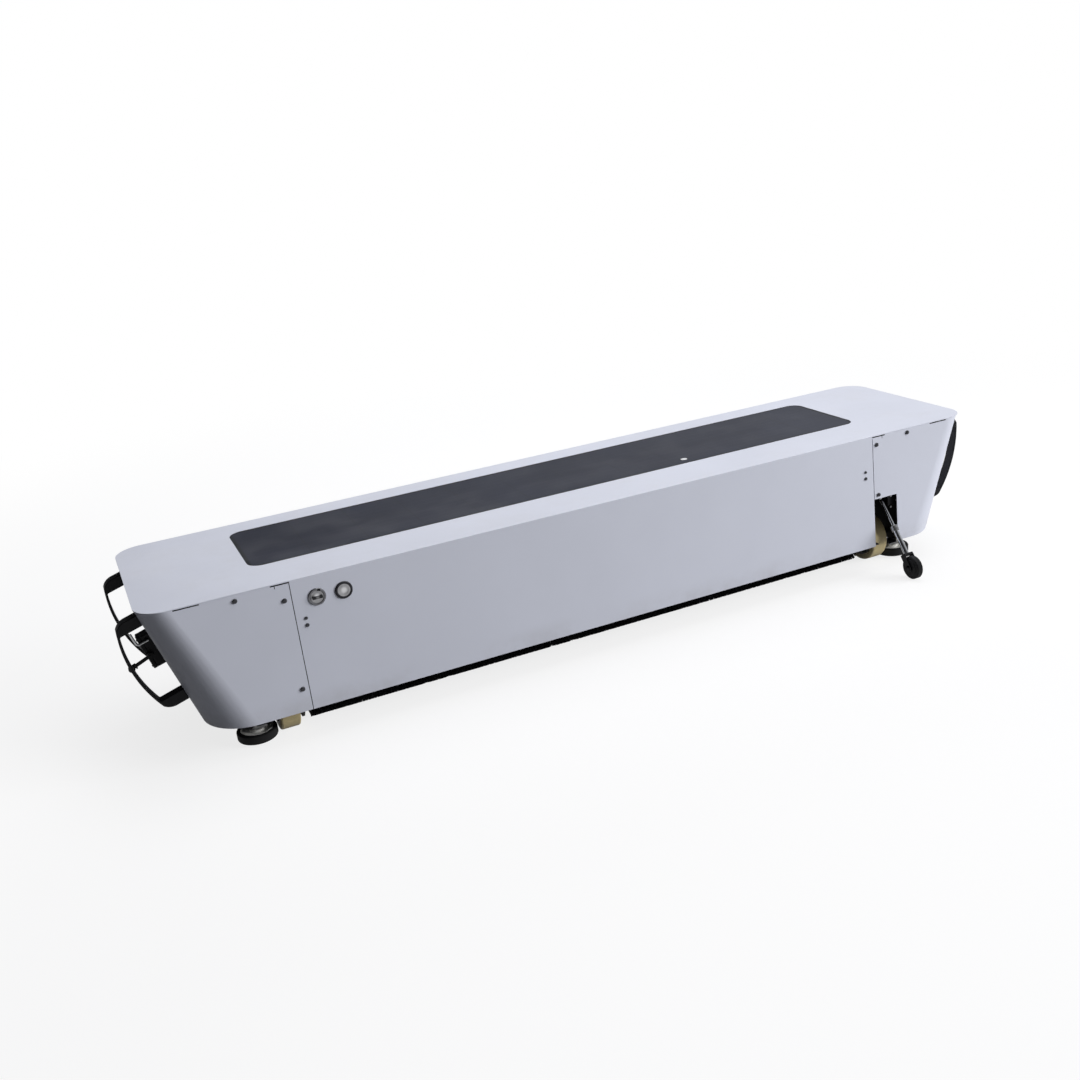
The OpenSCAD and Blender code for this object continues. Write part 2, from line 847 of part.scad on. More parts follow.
// End switch between the left handles
end_z = edge_z + 128;
end_w = 30;
end_l = 78;
end_h = 38;
end_plate = 4;
end_round = 6;
guard_d = 5;
guard_foot = [-28, 20];
guard_rise = 42;
guard_l = 32;
module end_switch() {
    color([0.13, 0.13, 0.14]) left() on_wall(0, end_z) {
        linear_extrude(end_plate) round_rect(end_l + 14, end_w + 2 * end_plate, end_round);
        translate([-2, 0, end_plate - 1]) linear_extrude(end_h - end_plate + 1)
            round_rect(end_l, end_w, end_round);
        translate([guard_foot[0], end_w / 2 - 1, guard_foot[1]]) rotate([-90, 0, 0])
            cylinder(d = guard_d + 4, h = guard_d + 2);
        translate([guard_foot[0], end_w / 2 + 4, guard_foot[1] - 3])
            cylinder(d = guard_d, h = guard_rise + guard_d / 2 - guard_foot[1] + 3);
        translate([guard_foot[0] + guard_d / 2, end_w / 2 + 4, guard_rise]) rotate([0, -90, 0])
            cylinder(d = guard_d, h = guard_l);
        translate([end_pivot[0], 0, end_pivot[1]]) rotate([-90, 0, 0]) cylinder(d = pin_d, h = end_w / 2 + 11);
    }
}

module end_arm_at() {
    left() on_wall(0, end_z) translate([end_pivot[0], end_w / 2 + 5.8, end_pivot[1]]) children();
}

module end_lever() {
    tip = [end_arm[0] - end_pivot[0], end_arm[1] - end_pivot[1]];
    len = norm(tip);
    color([0.78, 0.79, 0.81]) end_arm_at() difference() {
        union() {
            rotate([90, 0, 0]) cylinder(r = 7, h = 8, center = true);
            rotate([0, -atan2(tip[1], tip[0]), 0]) {
                translate([3, -3, -3]) cube([len - tip_r - 5, 6, 6]);
                translate([len - tip_r - 4, -4, -5]) cube([3, 10, 10]);
                translate([len - tip_r - 3, -4, -5]) cube([tip_r + 8, 2.5, 10]);
                translate([len, -3, 0]) rotate([-90, 0, 0]) cylinder(d = 4, h = 9);
            }
        }
        rotate([90, 0, 0]) cylinder(d = pin_d + 2 * run_gap, h = 12, center = true);
    }
}

module end_roller() {
    tip = [end_arm[0] - end_pivot[0], end_arm[1] - end_pivot[1]];
    color([0.08, 0.08, 0.09]) end_arm_at() translate([tip[0], -1.2, tip[1]]) rotate([-90, 0, 0])
        difference() {
            cylinder(r = tip_r, h = 7);
            translate([0, 0, -over]) cylinder(d = 4 + 2 * run_gap, h = 7 + 2 * over);
        }
}

// Bow handle
module handle() {
    crown = 14;
    span = handle_l / 2 - 18;
    bow_r = (span * span + crown * crown) / (2 * crown);
    gap = handle_l / 2 - handle_foot;
    corner = 30;
    rotate([90, 0, 0]) linear_extrude(handle_w, center = true) difference() {
        intersection() {
            translate([0, handle_h - bow_r]) circle(bow_r, $fn = 180);
            union() {
                translate([-handle_l / 2, 0]) square([handle_l, handle_h - crown - corner + 4]);
                translate([-handle_l / 2 + corner, 0]) square([handle_l - 2 * corner, handle_h]);
                for (s = [-1, 1]) translate([s * (handle_l / 2 - corner), handle_h - crown - corner + 4])
                    circle(corner);
            }
            translate([-handle_l, 0]) square([2 * handle_l, handle_h]);
        }
        intersection() {
            translate([0, handle_h - bow_r]) circle(bow_r - bow_t, $fn = 180);
            translate([0, handle_h / 2 - 10]) round_rect(2 * gap, handle_h + 18, 8);
        }
    }
}

handle_z = edge_z + 156;
handle_foot = 25;
module end_handle(y) {
    color([0.09, 0.09, 0.1]) on_wall(y, handle_z) handle();
}

module right_front_handle() {
    end_handle(-handle_base / 2);
}

module right_rear_handle() {
    end_handle(handle_base / 2);
}

module left_front_handle() {
    left() end_handle(handle_base / 2);
}

module left_rear_handle() {
    left() end_handle(-handle_base / 2);
}

// Push button and key switch in the front face
bush_l = 26;
cap_low = bush_l - 9 - cap_travel;
cap_rise = 2.2;
module switch_rim() {
    difference() {
        union() {
            rotate_extrude() polygon([
                [cap_d / 2 + cap_gap, 0], [rim_d / 2, 0], [rim_d / 2, 1.4],
                [rim_d / 2 - 1.6, 3], [cap_d / 2 + 1.2, 3], [cap_d / 2 + cap_gap, 2.2]
            ]);
            translate([0, 0, -bush_l]) cylinder(d = rim_d - 6 - 2 * seat_gap, h = bush_l + 0.5);
        }
        translate([0, 0, -bush_l + 3]) cylinder(d = cap_d + 2 * cap_gap, h = bush_l + 4);
    }
}

module button_rim() {
    color([0.7, 0.71, 0.73]) on_face(button_x, button_z) switch_rim();
}

module button_cap() {
    color([0.75, 0.76, 0.78]) on_face(button_x, button_z) difference() {
        translate([0, 0, -cap_low]) cylinder(d = cap_d, h = cap_low + cap_rise);
        translate([0, 0, cap_rise - 0.6]) cylinder(d = cap_d - 8, h = 2);
    }
}

module key_rim() {
    color([0.7, 0.71, 0.73]) on_face(key_x, button_z) switch_rim();
}

module key_knob() {
    color([0.6, 0.61, 0.63]) on_face(key_x, button_z) {
        translate([0, 0, -cap_low]) cylinder(d = cap_d, h = cap_low + cap_rise - 0.7);
        translate([0, 0, cap_rise - 1.2]) linear_extrude(6) round_rect(cap_d - 5, 6, 2);
    }
}

hood();
left_cover();
right_cover();
solar_panel();
solar_tray();
left_side_plate();
right_side_plate();
left_end_frame();
right_end_frame();
front_rail();
rear_rail();
deck();
battery();
controller();
left_drive_motor();
right_drive_motor();
left_motor_pulley();
right_motor_pulley();
left_drive_belt();
right_drive_belt();
brush_bearings();
front_brush_core();
front_bristles();
rear_brush_core();
rear_bristles();
front_right_hub();
front_right_tyre();
rear_right_hub();
rear_right_tyre();
front_left_hub();
front_left_tyre();
rear_left_hub();
rear_left_tyre();
front_right_guide_bracket();
front_right_guide_wheel();
rear_right_guide_bracket();
rear_right_guide_wheel();
front_left_guide_bracket();
front_left_guide_wheel();
rear_left_guide_bracket();
rear_left_guide_wheel();
front_switch();
front_lever();
front_roller();
rear_switch();
rear_lever();
rear_roller();
end_switch();
end_lever();
end_roller();
right_front_handle();
right_rear_handle();
left_front_handle();
left_rear_handle();
button_rim();
button_cap();
key_rim();
key_knob();
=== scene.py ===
import bpy
import bmesh
import math
from mathutils import Matrix, Vector


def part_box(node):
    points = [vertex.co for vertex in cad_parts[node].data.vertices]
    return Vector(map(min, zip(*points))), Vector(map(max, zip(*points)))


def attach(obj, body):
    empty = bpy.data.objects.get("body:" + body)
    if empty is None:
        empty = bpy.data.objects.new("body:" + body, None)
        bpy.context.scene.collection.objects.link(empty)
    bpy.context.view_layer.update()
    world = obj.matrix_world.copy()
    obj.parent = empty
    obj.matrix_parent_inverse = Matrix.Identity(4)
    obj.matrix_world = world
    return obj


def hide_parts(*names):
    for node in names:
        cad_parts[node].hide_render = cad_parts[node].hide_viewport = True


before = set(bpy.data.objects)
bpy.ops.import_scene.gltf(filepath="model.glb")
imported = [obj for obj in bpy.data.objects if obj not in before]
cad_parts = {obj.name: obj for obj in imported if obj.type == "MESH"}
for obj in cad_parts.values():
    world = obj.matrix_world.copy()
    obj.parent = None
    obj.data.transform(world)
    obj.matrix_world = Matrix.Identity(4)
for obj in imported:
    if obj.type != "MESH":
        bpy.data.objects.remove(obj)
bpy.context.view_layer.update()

# The room: a pale floor, a white background and soft lamps, the main one high at the front right.
# The camera stands at the photograph's place, to the left of the middle and above the hood.
camera = bpy.data.objects.new("photo_camera", bpy.data.cameras.new("photo_camera"))
bpy.context.scene.collection.objects.link(camera)
camera.data.sensor_width = 36
camera.data.lens = 39.025
camera.matrix_world = Matrix((
    (0.90647305, 0.23075188, -0.35363848, -1.05326),
    (-0.40966615, 0.27753855, -0.86899137, -2.39013),
    (-0.10237308, 0.93259097, 0.34611245, 1.16065),
    (0, 0, 0, 1),
))
camera.data.clip_end = 200
bpy.context.scene.camera = camera
bpy.context.scene.view_settings.view_transform = "Standard"


def soft_lamp(name, place, aim, size, watts, mirrored):
    lamp = bpy.data.lights.new(name, "AREA")
    lamp.shape = "RECTANGLE"
    lamp.size, lamp.size_y = size
    lamp.energy = watts
    holder = bpy.data.objects.new(name, lamp)
    bpy.context.scene.collection.objects.link(holder)
    holder.location = place
    holder.visible_glossy = mirrored
    holder.rotation_euler = (Vector(aim) - Vector(place)).to_track_quat("-Z", "Y").to_euler()


soft_lamp("overhead_lamp", (0.5, 0.3, 3.0), aim=(0, 0, 0.3), size=(3.8, 1.6), watts=51, mirrored=True)
soft_lamp("front_right_lamp", (6.0, -4.0, 2.5), aim=(0.1, 0, 0.2), size=(4.2, 3.2), watts=520, mirrored=False)
soft_lamp("rear_lamp", (1.5, 6.0, 2.2), aim=(0, 0, 0.2), size=(4.0, 2.5), watts=170, mirrored=False)


def part_node(tree, kind, values=None, **settings):
    node = tree.nodes.new(kind)
    for key, value in settings.items():
        setattr(node, key, value)
    for key, value in (values or {}).items():
        if isinstance(value, bpy.types.NodeSocket):
            tree.links.new(value, node.inputs[key])
        else:
            node.inputs[key].default_value = value
    return node


def reckoned(tree, operation, first, second=None, clamp=False):
    values = {0: first} if second is None else {0: first, 1: second}
    return part_node(tree, "ShaderNodeMath", values, operation=operation, use_clamp=clamp).outputs[0]


def band(tree, value, low, high):
    made = part_node(tree, "ShaderNodeMapRange", {"Value": value, "From Min": low, "From Max": high},
                     interpolation_type="SMOOTHSTEP")
    return made.outputs[0]


def bare_finish(name, values):
    material = bpy.data.materials.new(name)
    material.use_nodes = True
    surface = material.node_tree.nodes["Principled BSDF"]
    for label, value in values.items():
        surface.inputs[label].default_value = value
    return material, material.node_tree, surface


world = bpy.data.worlds.new("studio_air")
world.use_nodes = True
bpy.context.scene.world = world
air = world.node_tree
air_way = part_node(air, "ShaderNodeTexCoord").outputs["Generated"]
air_side = part_node(air, "ShaderNodeSeparateXYZ", {0: air_way})
air_level = part_node(air, "ShaderNodeMapRange", {
    "Value": air_side.outputs["X"], "From Min": 0.0, "From Max": 0.8, "To Min": 0.03, "To Max": 0.44})
lit_air = air.nodes["Background"]
lit_air.inputs["Color"].default_value = (0.93, 0.95, 1, 1)
air.links.new(air_level.outputs[0], lit_air.inputs["Strength"])
seen_air = part_node(air, "ShaderNodeBackground", {"Color": (1, 1, 1, 1), "Strength": 1})
ray = part_node(air, "ShaderNodeLightPath").outputs
seen = reckoned(air, "ADD", ray["Is Camera Ray"], ray["Is Transmission Ray"], clamp=True)
whole_air = part_node(air, "ShaderNodeMixShader", {0: seen, 1: lit_air.outputs[0], 2: seen_air.outputs[0]})
air.links.new(whole_air.outputs[0], air.nodes["World Output"].inputs["Surface"])

floor_mesh = bpy.data.meshes.new("studio_floor")
bm = bmesh.new()
bmesh.ops.create_grid(bm, x_segments=1, y_segments=1, size=40)
bm.to_mesh(floor_mesh)
bm.free()
floor = bpy.data.objects.new("studio_floor", floor_mesh)
bpy.context.scene.collection.objects.link(floor)
floor_paint, tree, matt = bare_finish("studio_floor", {
    "Base Color": (0.22, 0.22, 0.225, 1), "Roughness": 0.9, "Specular IOR Level": 0.1})
mirrored_share = 0.3
ray = part_node(tree, "ShaderNodeLightPath").outputs
mirrored = reckoned(tree, "MULTIPLY", ray["Is Glossy Ray"], mirrored_share)
seen = reckoned(tree, "MAXIMUM", ray["Is Camera Ray"], mirrored)
seen = reckoned(tree, "MAXIMUM", seen, ray["Is Transmission Ray"])
near_glow = part_node(tree, "ShaderNodeEmission", {"Color": (0.79, 0.79, 0.79, 1), "Strength": seen})
far_glow = part_node(tree, "ShaderNodeEmission", {"Color": (1, 1, 1, 1), "Strength": seen})
near_floor = part_node(tree, "ShaderNodeAddShader", {0: matt.outputs[0], 1: near_glow.outputs[0]})
floor_place = part_node(tree, "ShaderNodeTexCoord").outputs["Object"]
floor_reach = part_node(tree, "ShaderNodeVectorMath", {0: floor_place}, operation="LENGTH").outputs["Value"]
fade_from, fade_to = 1.5, 3.2
upper_side = part_node(tree, "ShaderNodeMixShader", {
    0: band(tree, floor_reach, fade_from, fade_to), 1: near_floor.outputs[0], 2: far_glow.outputs[0]})
whole_floor = part_node(tree, "ShaderNodeMixShader", {
    0: part_node(tree, "ShaderNodeNewGeometry").outputs["Backfacing"], 1: upper_side.outputs[0],
    2: part_node(tree, "ShaderNodeBsdfTransparent").outputs[0]})
tree.links.new(whole_floor.outputs[0], tree.nodes["Material Output"].inputs["Surface"])
floor_mesh.materials.append(floor_paint)

# The hood and its two end covers: 2 mm steel sheet, cut, bent and powder coated in a cool white.
# The copies of the sheets get the bend along the top and the small rounding that the coating
# gives to every cut edge. Orange peel, a little dust and the grime low down are in the finish.


def effect_group(name, inputs, outputs):
    group = bpy.data.node_groups.new(name, "ShaderNodeTree")
    for label, value in inputs:
        socket = group.interface.new_socket(label, in_out="INPUT", socket_type="NodeSocketFloat")
        socket.default_value = value
    for label in outputs:
        group.interface.new_socket(label, in_out="OUTPUT", socket_type="NodeSocketFloat")
    return group, group.nodes.new("NodeGroupInput"), group.nodes.new("NodeGroupOutput")


def tint(tree, share, plain, other):
    return part_node(tree, "ShaderNodeMix", {0: share, 6: plain, 7: other}, data_type="RGBA").outputs[2]


worn_edges, group_in, group_out = effect_group("worn_edges", [("Radius", 0.001), ("Breakup", 60.0)], ["Mask"])
round_normal = part_node(worn_edges, "ShaderNodeBevel", {"Radius": group_in.outputs["Radius"]}, samples=4)
flat_normal = part_node(worn_edges, "ShaderNodeNewGeometry")
alike = part_node(worn_edges, "ShaderNodeVectorMath", {
    0: round_normal.outputs[0], 1: flat_normal.outputs["Normal"]}, operation="DOT_PRODUCT")
edge_place = part_node(worn_edges, "ShaderNodeTexCoord")
edge_noise = part_node(worn_edges, "ShaderNodeTexNoise", {
    "Vector": edge_place.outputs["Object"], "Scale": group_in.outputs["Breakup"], "Detail": 3.0})
edge_mask = reckoned(worn_edges, "MULTIPLY", band(worn_edges, alike.outputs["Value"], 0.985, 0.8),
                     band(worn_edges, edge_noise.outputs[0], 0.38, 0.62))
worn_edges.links.new(edge_mask, group_out.inputs["Mask"])

surface_grain, group_in, group_out = effect_group(
    "surface_grain", [("Grain Scale", 400.0), ("Mottle Scale", 3.0)], ["Height", "Mottle"])
grain_place = part_node(surface_grain, "ShaderNodeTexCoord")
fine_noise = part_node(surface_grain, "ShaderNodeTexNoise", {
    "Vector": grain_place.outputs["Object"], "Scale": group_in.outputs["Grain Scale"],
    "Detail": 2.0, "Roughness": 0.55})
wide_noise = part_node(surface_grain, "ShaderNodeTexNoise", {
    "Vector": grain_place.outputs["Object"], "Scale": group_in.outputs["Mottle Scale"],
    "Detail": 4.0, "Roughness": 0.6})
surface_grain.links.new(fine_noise.outputs[0], group_out.inputs["Height"])
surface_grain.links.new(wide_noise.outputs[0], group_out.inputs["Mottle"])

settled_dust, group_in, group_out = effect_group(
    "settled_dust", [("Low Edge", 0.066), ("Splash Height", 0.05)], ["Dust", "Splash"])
dust_place = part_node(settled_dust, "ShaderNodeTexCoord")
dust_up = part_node(settled_dust, "ShaderNodeSeparateXYZ", {
    0: part_node(settled_dust, "ShaderNodeNewGeometry").outputs["Normal"]})
dust_height = part_node(settled_dust, "ShaderNodeSeparateXYZ", {0: dust_place.outputs["Object"]})
dust_noise = part_node(settled_dust, "ShaderNodeTexNoise", {
    "Vector": dust_place.outputs["Object"], "Scale": 7.0, "Detail": 6.0, "Roughness": 0.65})
dust_mask = reckoned(settled_dust, "MULTIPLY", band(settled_dust, dust_up.outputs["Z"], 0.5, 1.0),
                     band(settled_dust, dust_noise.outputs[0], 0.42, 0.75))
above = reckoned(settled_dust, "SUBTRACT", dust_height.outputs["Z"], group_in.outputs["Low Edge"])
splash_low = band(settled_dust, above, group_in.outputs["Splash Height"], 0.0)
splash_mask = reckoned(settled_dust, "MULTIPLY", splash_low,
                       band(settled_dust, dust_noise.outputs[0], 0.4, 0.7))
settled_dust.links.new(dust_mask, group_out.inputs["Dust"])
settled_dust.links.new(splash_mask, group_out.inputs["Splash"])


def coating(name, colour, roughness, grain, relief, mottle=0.02, wear=None, grime=0.0,
            metallic=0.0, coat=0.0, specular=0.5, mottle_scale=3.0, spread=0.08):
    dust_colour, splash_colour = (0.52, 0.49, 0.44, 1), (0.30, 0.28, 0.25, 1)
    material, tree, surface = bare_finish(name, {
        "Metallic": metallic, "Coat Weight": coat, "Coat Roughness": 0.25, "Specular IOR Level": specular})
    skin = part_node(tree, "ShaderNodeGroup", {"Grain Scale": grain, "Mottle Scale": mottle_scale},
                     node_tree=surface_grain)
    low = tuple(c * (1 - mottle) for c in colour) + (1,)
    high = tuple(min(1, c * (1 + mottle)) for c in colour) + (1,)
    shade = tint(tree, band(tree, skin.outputs["Mottle"], 0.3, 0.7), low, high)
    gloss = part_node(tree, "ShaderNodeMapRange", {
        "Value": skin.outputs["Mottle"], "From Min": 0.25, "From Max": 0.75,
        "To Min": roughness - spread, "To Max": roughness + spread}).outputs[0]
    if grime:
        dust = part_node(tree, "ShaderNodeGroup", node_tree=settled_dust).outputs
        shade = tint(tree, reckoned(tree, "MULTIPLY", dust["Dust"], grime * 0.5), shade, dust_colour)
        shade = tint(tree, reckoned(tree, "MULTIPLY", dust["Splash"], grime), shade, splash_colour)
        gloss = reckoned(tree, "ADD", gloss, reckoned(tree, "MULTIPLY", dust["Dust"], 0.18), clamp=True)
    if wear:
        reach, share, bare = wear
        worn = part_node(tree, "ShaderNodeGroup", {"Radius": reach}, node_tree=worn_edges).outputs["Mask"]
        shade = tint(tree, reckoned(tree, "MULTIPLY", worn, share), shade, bare + (1,))
        gloss = reckoned(tree, "SUBTRACT", gloss, reckoned(tree, "MULTIPLY", worn, 0.15), clamp=True)
    tree.links.new(shade, surface.inputs["Base Color"])
    tree.links.new(gloss, surface.inputs["Roughness"])
    bump = part_node(tree, "ShaderNodeBump", {
        "Height": skin.outputs["Height"], "Distance": relief, "Strength": 0.6})
    tree.links.new(bump.outputs[0], surface.inputs["Normal"])
    return material


def shown(name, bm, material, body, hard, stands_for=()):
    for face in bm.faces:
        face.smooth = True
    for edge in bm.edges:
        edge.smooth = len(edge.link_faces) == 2 and edge.calc_face_angle(0) < math.radians(hard)
    mesh = bpy.data.meshes.new(name)
    bm.to_mesh(mesh)
    bm.free()
    mesh.materials.append(material)
    piece = bpy.data.objects.new(name, mesh)
    bpy.context.scene.collection.objects.link(piece)
    evened = piece.modifiers.new("even_normals", "WEIGHTED_NORMAL")
    evened.keep_sharp = True
    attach(piece, body)
    if stands_for:
        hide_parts(*stands_for)


def merged_copy(node):
    bm = bmesh.new()
    bm.from_mesh(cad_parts[node].data)
    bmesh.ops.remove_doubles(bm, verts=bm.verts, dist=2e-6)
    bmesh.ops.dissolve_limit(bm, angle_limit=math.radians(0.4), verts=bm.verts, edges=bm.edges)
    return bm


def rounded(bm, edges, width, segments, clamp=False):
    return bmesh.ops.bevel(bm, geom=edges, offset=width, offset_type="OFFSET", segments=segments,
                           profile=0.5, affect="EDGES", material=-1, clamp_overlap=clamp)


def eased(bm, width, segments, least, chosen=lambda edge: True):
    edges = [e for e in bm.edges if len(e.link_faces) == 2
             and e.calc_face_angle(0) > math.radians(least) and chosen(e)]
    rounded(bm, edges, width, segments, clamp=True)


white_coat = coating("white_powder_coat", (0.718, 0.742, 0.842), 0.47, 420, 0.00006, mottle=0.018,
                     wear=(0.0012, 0.35, (0.52, 0.53, 0.56)), grime=0.22, coat=0.05)
hood_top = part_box("hood")[1].z
hood_half = 0.221
seam_x = 0.7085
bend_r = 0.003
cut_edge_r = 0.0005
shortest_cut_edge = 0.0015


def along_top_bend(edge):
    return all(v.co.z > hood_top - 0.0005 and abs(v.co.x) < seam_x + 0.001
               and abs(abs(v.co.y) - hood_half) < 0.001 for v in edge.verts)


for node in ("hood", "left_cover", "right_cover"):
    sheet = merged_copy(node)
    if node == "hood":
        eased(sheet, bend_r, 4, 40, along_top_bend)
    eased(sheet, cut_edge_r, 2, 50, lambda e: e.calc_length() > shortest_cut_edge)
    shown(node + "_sheet", sheet, white_coat, "chassis", 35, (node,))

# Painted shade: thin strips of flat black set in the slits at the covers' folded corners, in the tick beside
# each seam, and down each seam between the hood's face and the cover's, to darken these gaps as their shade
# would.


def block(bm, low, high, ease=0.0, segments=2):
    low, high = Vector(low), Vector(high)
    before = set(bm.verts)
    made = bmesh.ops.create_cube(bm, size=1)
    bmesh.ops.scale(bm, vec=high - low, verts=made["verts"])
    bmesh.ops.translate(bm, vec=(low + high) / 2, verts=made["verts"])
    if ease:
        rounded(bm, list(set(e for v in made["verts"] for e in v.link_edges)), ease, segments)
    return [v for v in bm.verts if v not in before]


# painted shade: a flat black for the shadow inside the slits and seams
slit_shade_black = coating("painted_shade_black", (0.008, 0.008, 0.009), 0.8, 900, 0.0001, mottle=0.2, specular=0.1,
                     mottle_scale=40)
cover_top = hood_top - 0.0023
slit_depth, tick_depth, sunk = 0.0023, 0.0079, 0.0001
slit_low_y, slit_high_y = 0.2190, 0.2207
slits = ((seam_x + 0.0002, seam_x + 0.0368, slit_depth), (seam_x + 0.0281, seam_x + 0.0295, tick_depth),
         (0.8822, 0.9318, slit_depth))
face_height, face_spread = 0.278, 0.013
face_lean = math.atan(face_spread / face_height)
seam_strip_y, seam_strip_half = 0.2192, 0.0009
seam_strip_low_x, seam_strip_high_x = seam_x - 0.0015, seam_x - 0.0001
notch_top, lower_edge = 0.188, 0.068
corners = ((1, -1), (1, 1), (-1, -1), (-1, 1))
# the strips below are painted shade in the slits and down the seams
slit_shade_strips = bmesh.new()
for x_low, x_high, depth in slits:
    for x_side, y_side in corners:
        x_ends = sorted((x_side * x_low, x_side * x_high))
        y_ends = sorted((y_side * slit_low_y, y_side * slit_high_y))
        block(slit_shade_strips, (x_ends[0], y_ends[0], cover_top - depth), (x_ends[1], y_ends[1], cover_top - sunk))
for x_side, y_side in corners:
    low_z = notch_top if x_side == -y_side else lower_edge
    x_ends = sorted((x_side * seam_strip_low_x, x_side * seam_strip_high_x))
    strip = block(slit_shade_strips, (x_ends[0], -seam_strip_half, low_z - hood_top),
                  (x_ends[1], seam_strip_half, cover_top - hood_top))
    lean = (Matrix.Translation((0, y_side * seam_strip_y, hood_top))
            @ Matrix.Rotation(y_side * face_lean, 4, "X"))
    bmesh.ops.transform(slit_shade_strips, matrix=lean, verts=strip)
shown("painted_slit_shade", slit_shade_strips, slit_shade_black, "chassis", 30)

# Fasteners of the hood: stainless button-head screws with hexagon sockets, turned down on to the
# coated sheet. Two sit close together under each seam, and three hold each face of a cover.


def stood(bm, verts, place, out):
    turn = Vector(out).to_track_quat("Z", "Y").to_matrix().to_4x4()
    bmesh.ops.transform(bm, matrix=Matrix.Translation(place) @ turn, verts=verts)


def picked(geometry, kind):
    return [g for g in geometry if isinstance(g, kind)]


def socket_screw(bm, place, out, width, rise=0.32):
    r, height = width / 2, width * rise
    upper_r, dome, socket_rim, socket_r = r * 0.92, r * 0.34, r * 0.14, r * 0.40
    socket_depth = height * 0.6
    before = set(bm.verts)
    made = bmesh.ops.create_cone(bm, cap_ends=True, cap_tris=False, segments=24, radius1=r, radius2=upper_r,
                                 depth=height)["verts"]
    bmesh.ops.translate(bm, verts=made, vec=(0, 0, height / 2))
    top = max((f for v in made for f in v.link_faces), key=lambda f: f.calc_center_median().z)
    tops = rounded(bm, list(top.edges), dome, 4)["faces"] + [top]
    flat = max((f for f in tops if f.is_valid), key=lambda f: f.calc_center_median().z)
    bmesh.ops.inset_region(bm, faces=[flat], thickness=socket_rim, use_even_offset=True)
    for v in flat.verts:
        from_flat = math.atan2(v.co.y, v.co.x) % (math.pi / 3) - math.pi / 6
        v.co.xy = v.co.xy.normalized() * (socket_r / math.cos(from_flat))
    wall = bmesh.ops.extrude_face_region(bm, geom=[flat])["geom"]
    bmesh.ops.translate(bm, verts=picked(wall, bmesh.types.BMVert), vec=(0, 0, -socket_depth))
    if flat.is_valid:
        bmesh.ops.delete(bm, geom=[flat], context="FACES_ONLY")
    stood(bm, [v for v in bm.verts if v not in before], place, out)


def face_point(x, z, side=-1):
    return Vector((x, side * (hood_half + face_spread * (hood_top - z) / face_height), z))


stainless = coating("stainless_screws", (0.11, 0.11, 0.12), 0.38, 900, 0.00002, mottle=0.12, metallic=0.9,
                    mottle_scale=60)
screws_by_seams = ((-0.688, 0.260, 0.007), (-0.688, 0.245, 0.008),
                   (0.685, 0.260, 0.007), (0.685, 0.244, 0.008))
screws_in_covers = ((-0.816, 0.330, 0.010), (-0.723, 0.306, 0.010), (-0.722, 0.115, 0.010),
                    (0.812, 0.333, 0.010), (0.720, 0.321, 0.010), (0.721, 0.196, 0.010))
off_sheet = 0.0001
screws = bmesh.new()
for side in (-1, 1):
    out = Vector((0, side * math.cos(face_lean), math.sin(face_lean)))
    for x, z, width in screws_by_seams + screws_in_covers:
        socket_screw(screws, face_point(-side * x, z, side) + out * off_sheet, out, width)
shown("hood_screws", screws, stainless, "chassis", 30)

# The solar laminate: two rows of dark square cells under a frosted film, with thin busbars, on a
# shallow folded tray. It stays as the plain sheet that it is; the cells are in its material. A small
# light sensor looks out of it through a frosted window in a turned ring.


def finished(material, *nodes):
    for node in nodes:
        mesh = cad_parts[node].data
        mesh.materials.clear()
        mesh.materials.append(material)


def from_cell_middle(tree, run, pitch):
    return reckoned(tree, "SUBTRACT", reckoned(tree, "FRACT", reckoned(tree, "DIVIDE", run, pitch)), 0.5)


def turned(bm, profile, place, out, segments=48):
    before = set(bm.verts)
    ring = [bm.verts.new((r, 0, h)) for r, h in profile]
    edges = [bm.edges.new((ring[i - 1], ring[i])) for i in range(len(ring))]
    bmesh.ops.spin(bm, geom=ring + edges, cent=(0, 0, 0), axis=(0, 0, 1), dvec=(0, 0, 0), angle=2 * math.pi,
                   steps=segments, use_merge=True, use_duplicate=False)
    bmesh.ops.remove_doubles(bm, verts=[v for v in bm.verts if v not in before], dist=1e-6)
    made = [v for v in bm.verts if v not in before]
    bmesh.ops.recalc_face_normals(bm, faces=list(set(f for v in made for f in v.link_faces)))
    stood(bm, made, place, out)


laminate, tree, surface = bare_finish("solar_laminate", {
    "Coat Weight": 0.3, "Coat Roughness": 0.28, "Specular IOR Level": 0.35})
cell_x, cell_y, bars_in_cell = 0.1255, 0.1190, 5.0
gap_from, gap_to = 0.4905, 0.4935
bar_from, bar_to = 0.035, 0.02
field_x, field_y, border_fade, field_middle_y = 0.7525, 0.1185, 0.0015, 0.031
place = part_node(tree, "ShaderNodeTexCoord").outputs["Object"]
centred = part_node(tree, "ShaderNodeMapping", {"Vector": place, "Location": (0, -field_middle_y, 0)})
along = part_node(tree, "ShaderNodeSeparateXYZ", {0: centred.outputs[0]}).outputs
in_column = from_cell_middle(tree, along["X"], cell_x)
in_row = from_cell_middle(tree, along["Y"], cell_y)
gap_line = reckoned(tree, "MAXIMUM", band(tree, reckoned(tree, "ABSOLUTE", in_column), gap_from, gap_to),
                    band(tree, reckoned(tree, "ABSOLUTE", in_row), gap_from, gap_to))
in_bar = reckoned(tree, "FRACT", reckoned(tree, "MULTIPLY", in_row, bars_in_cell))
from_bar = reckoned(tree, "ABSOLUTE", reckoned(tree, "SUBTRACT", in_bar, 0.5))
bar_line = band(tree, from_bar, bar_from, bar_to)
border = reckoned(
    tree, "MAXIMUM", band(tree, reckoned(tree, "ABSOLUTE", along["X"]), field_x, field_x + border_fade),
    band(tree, reckoned(tree, "ABSOLUTE", along["Y"]), field_y, field_y + border_fade))
cell_noise = part_node(tree, "ShaderNodeTexNoise", {"Vector": place, "Scale": 5.0, "Detail": 3.0})
dust = part_node(tree, "ShaderNodeGroup", node_tree=settled_dust).outputs["Dust"]
dark_cell, pale_cell = (0.025, 0.028, 0.044, 1), (0.029, 0.033, 0.052, 1)
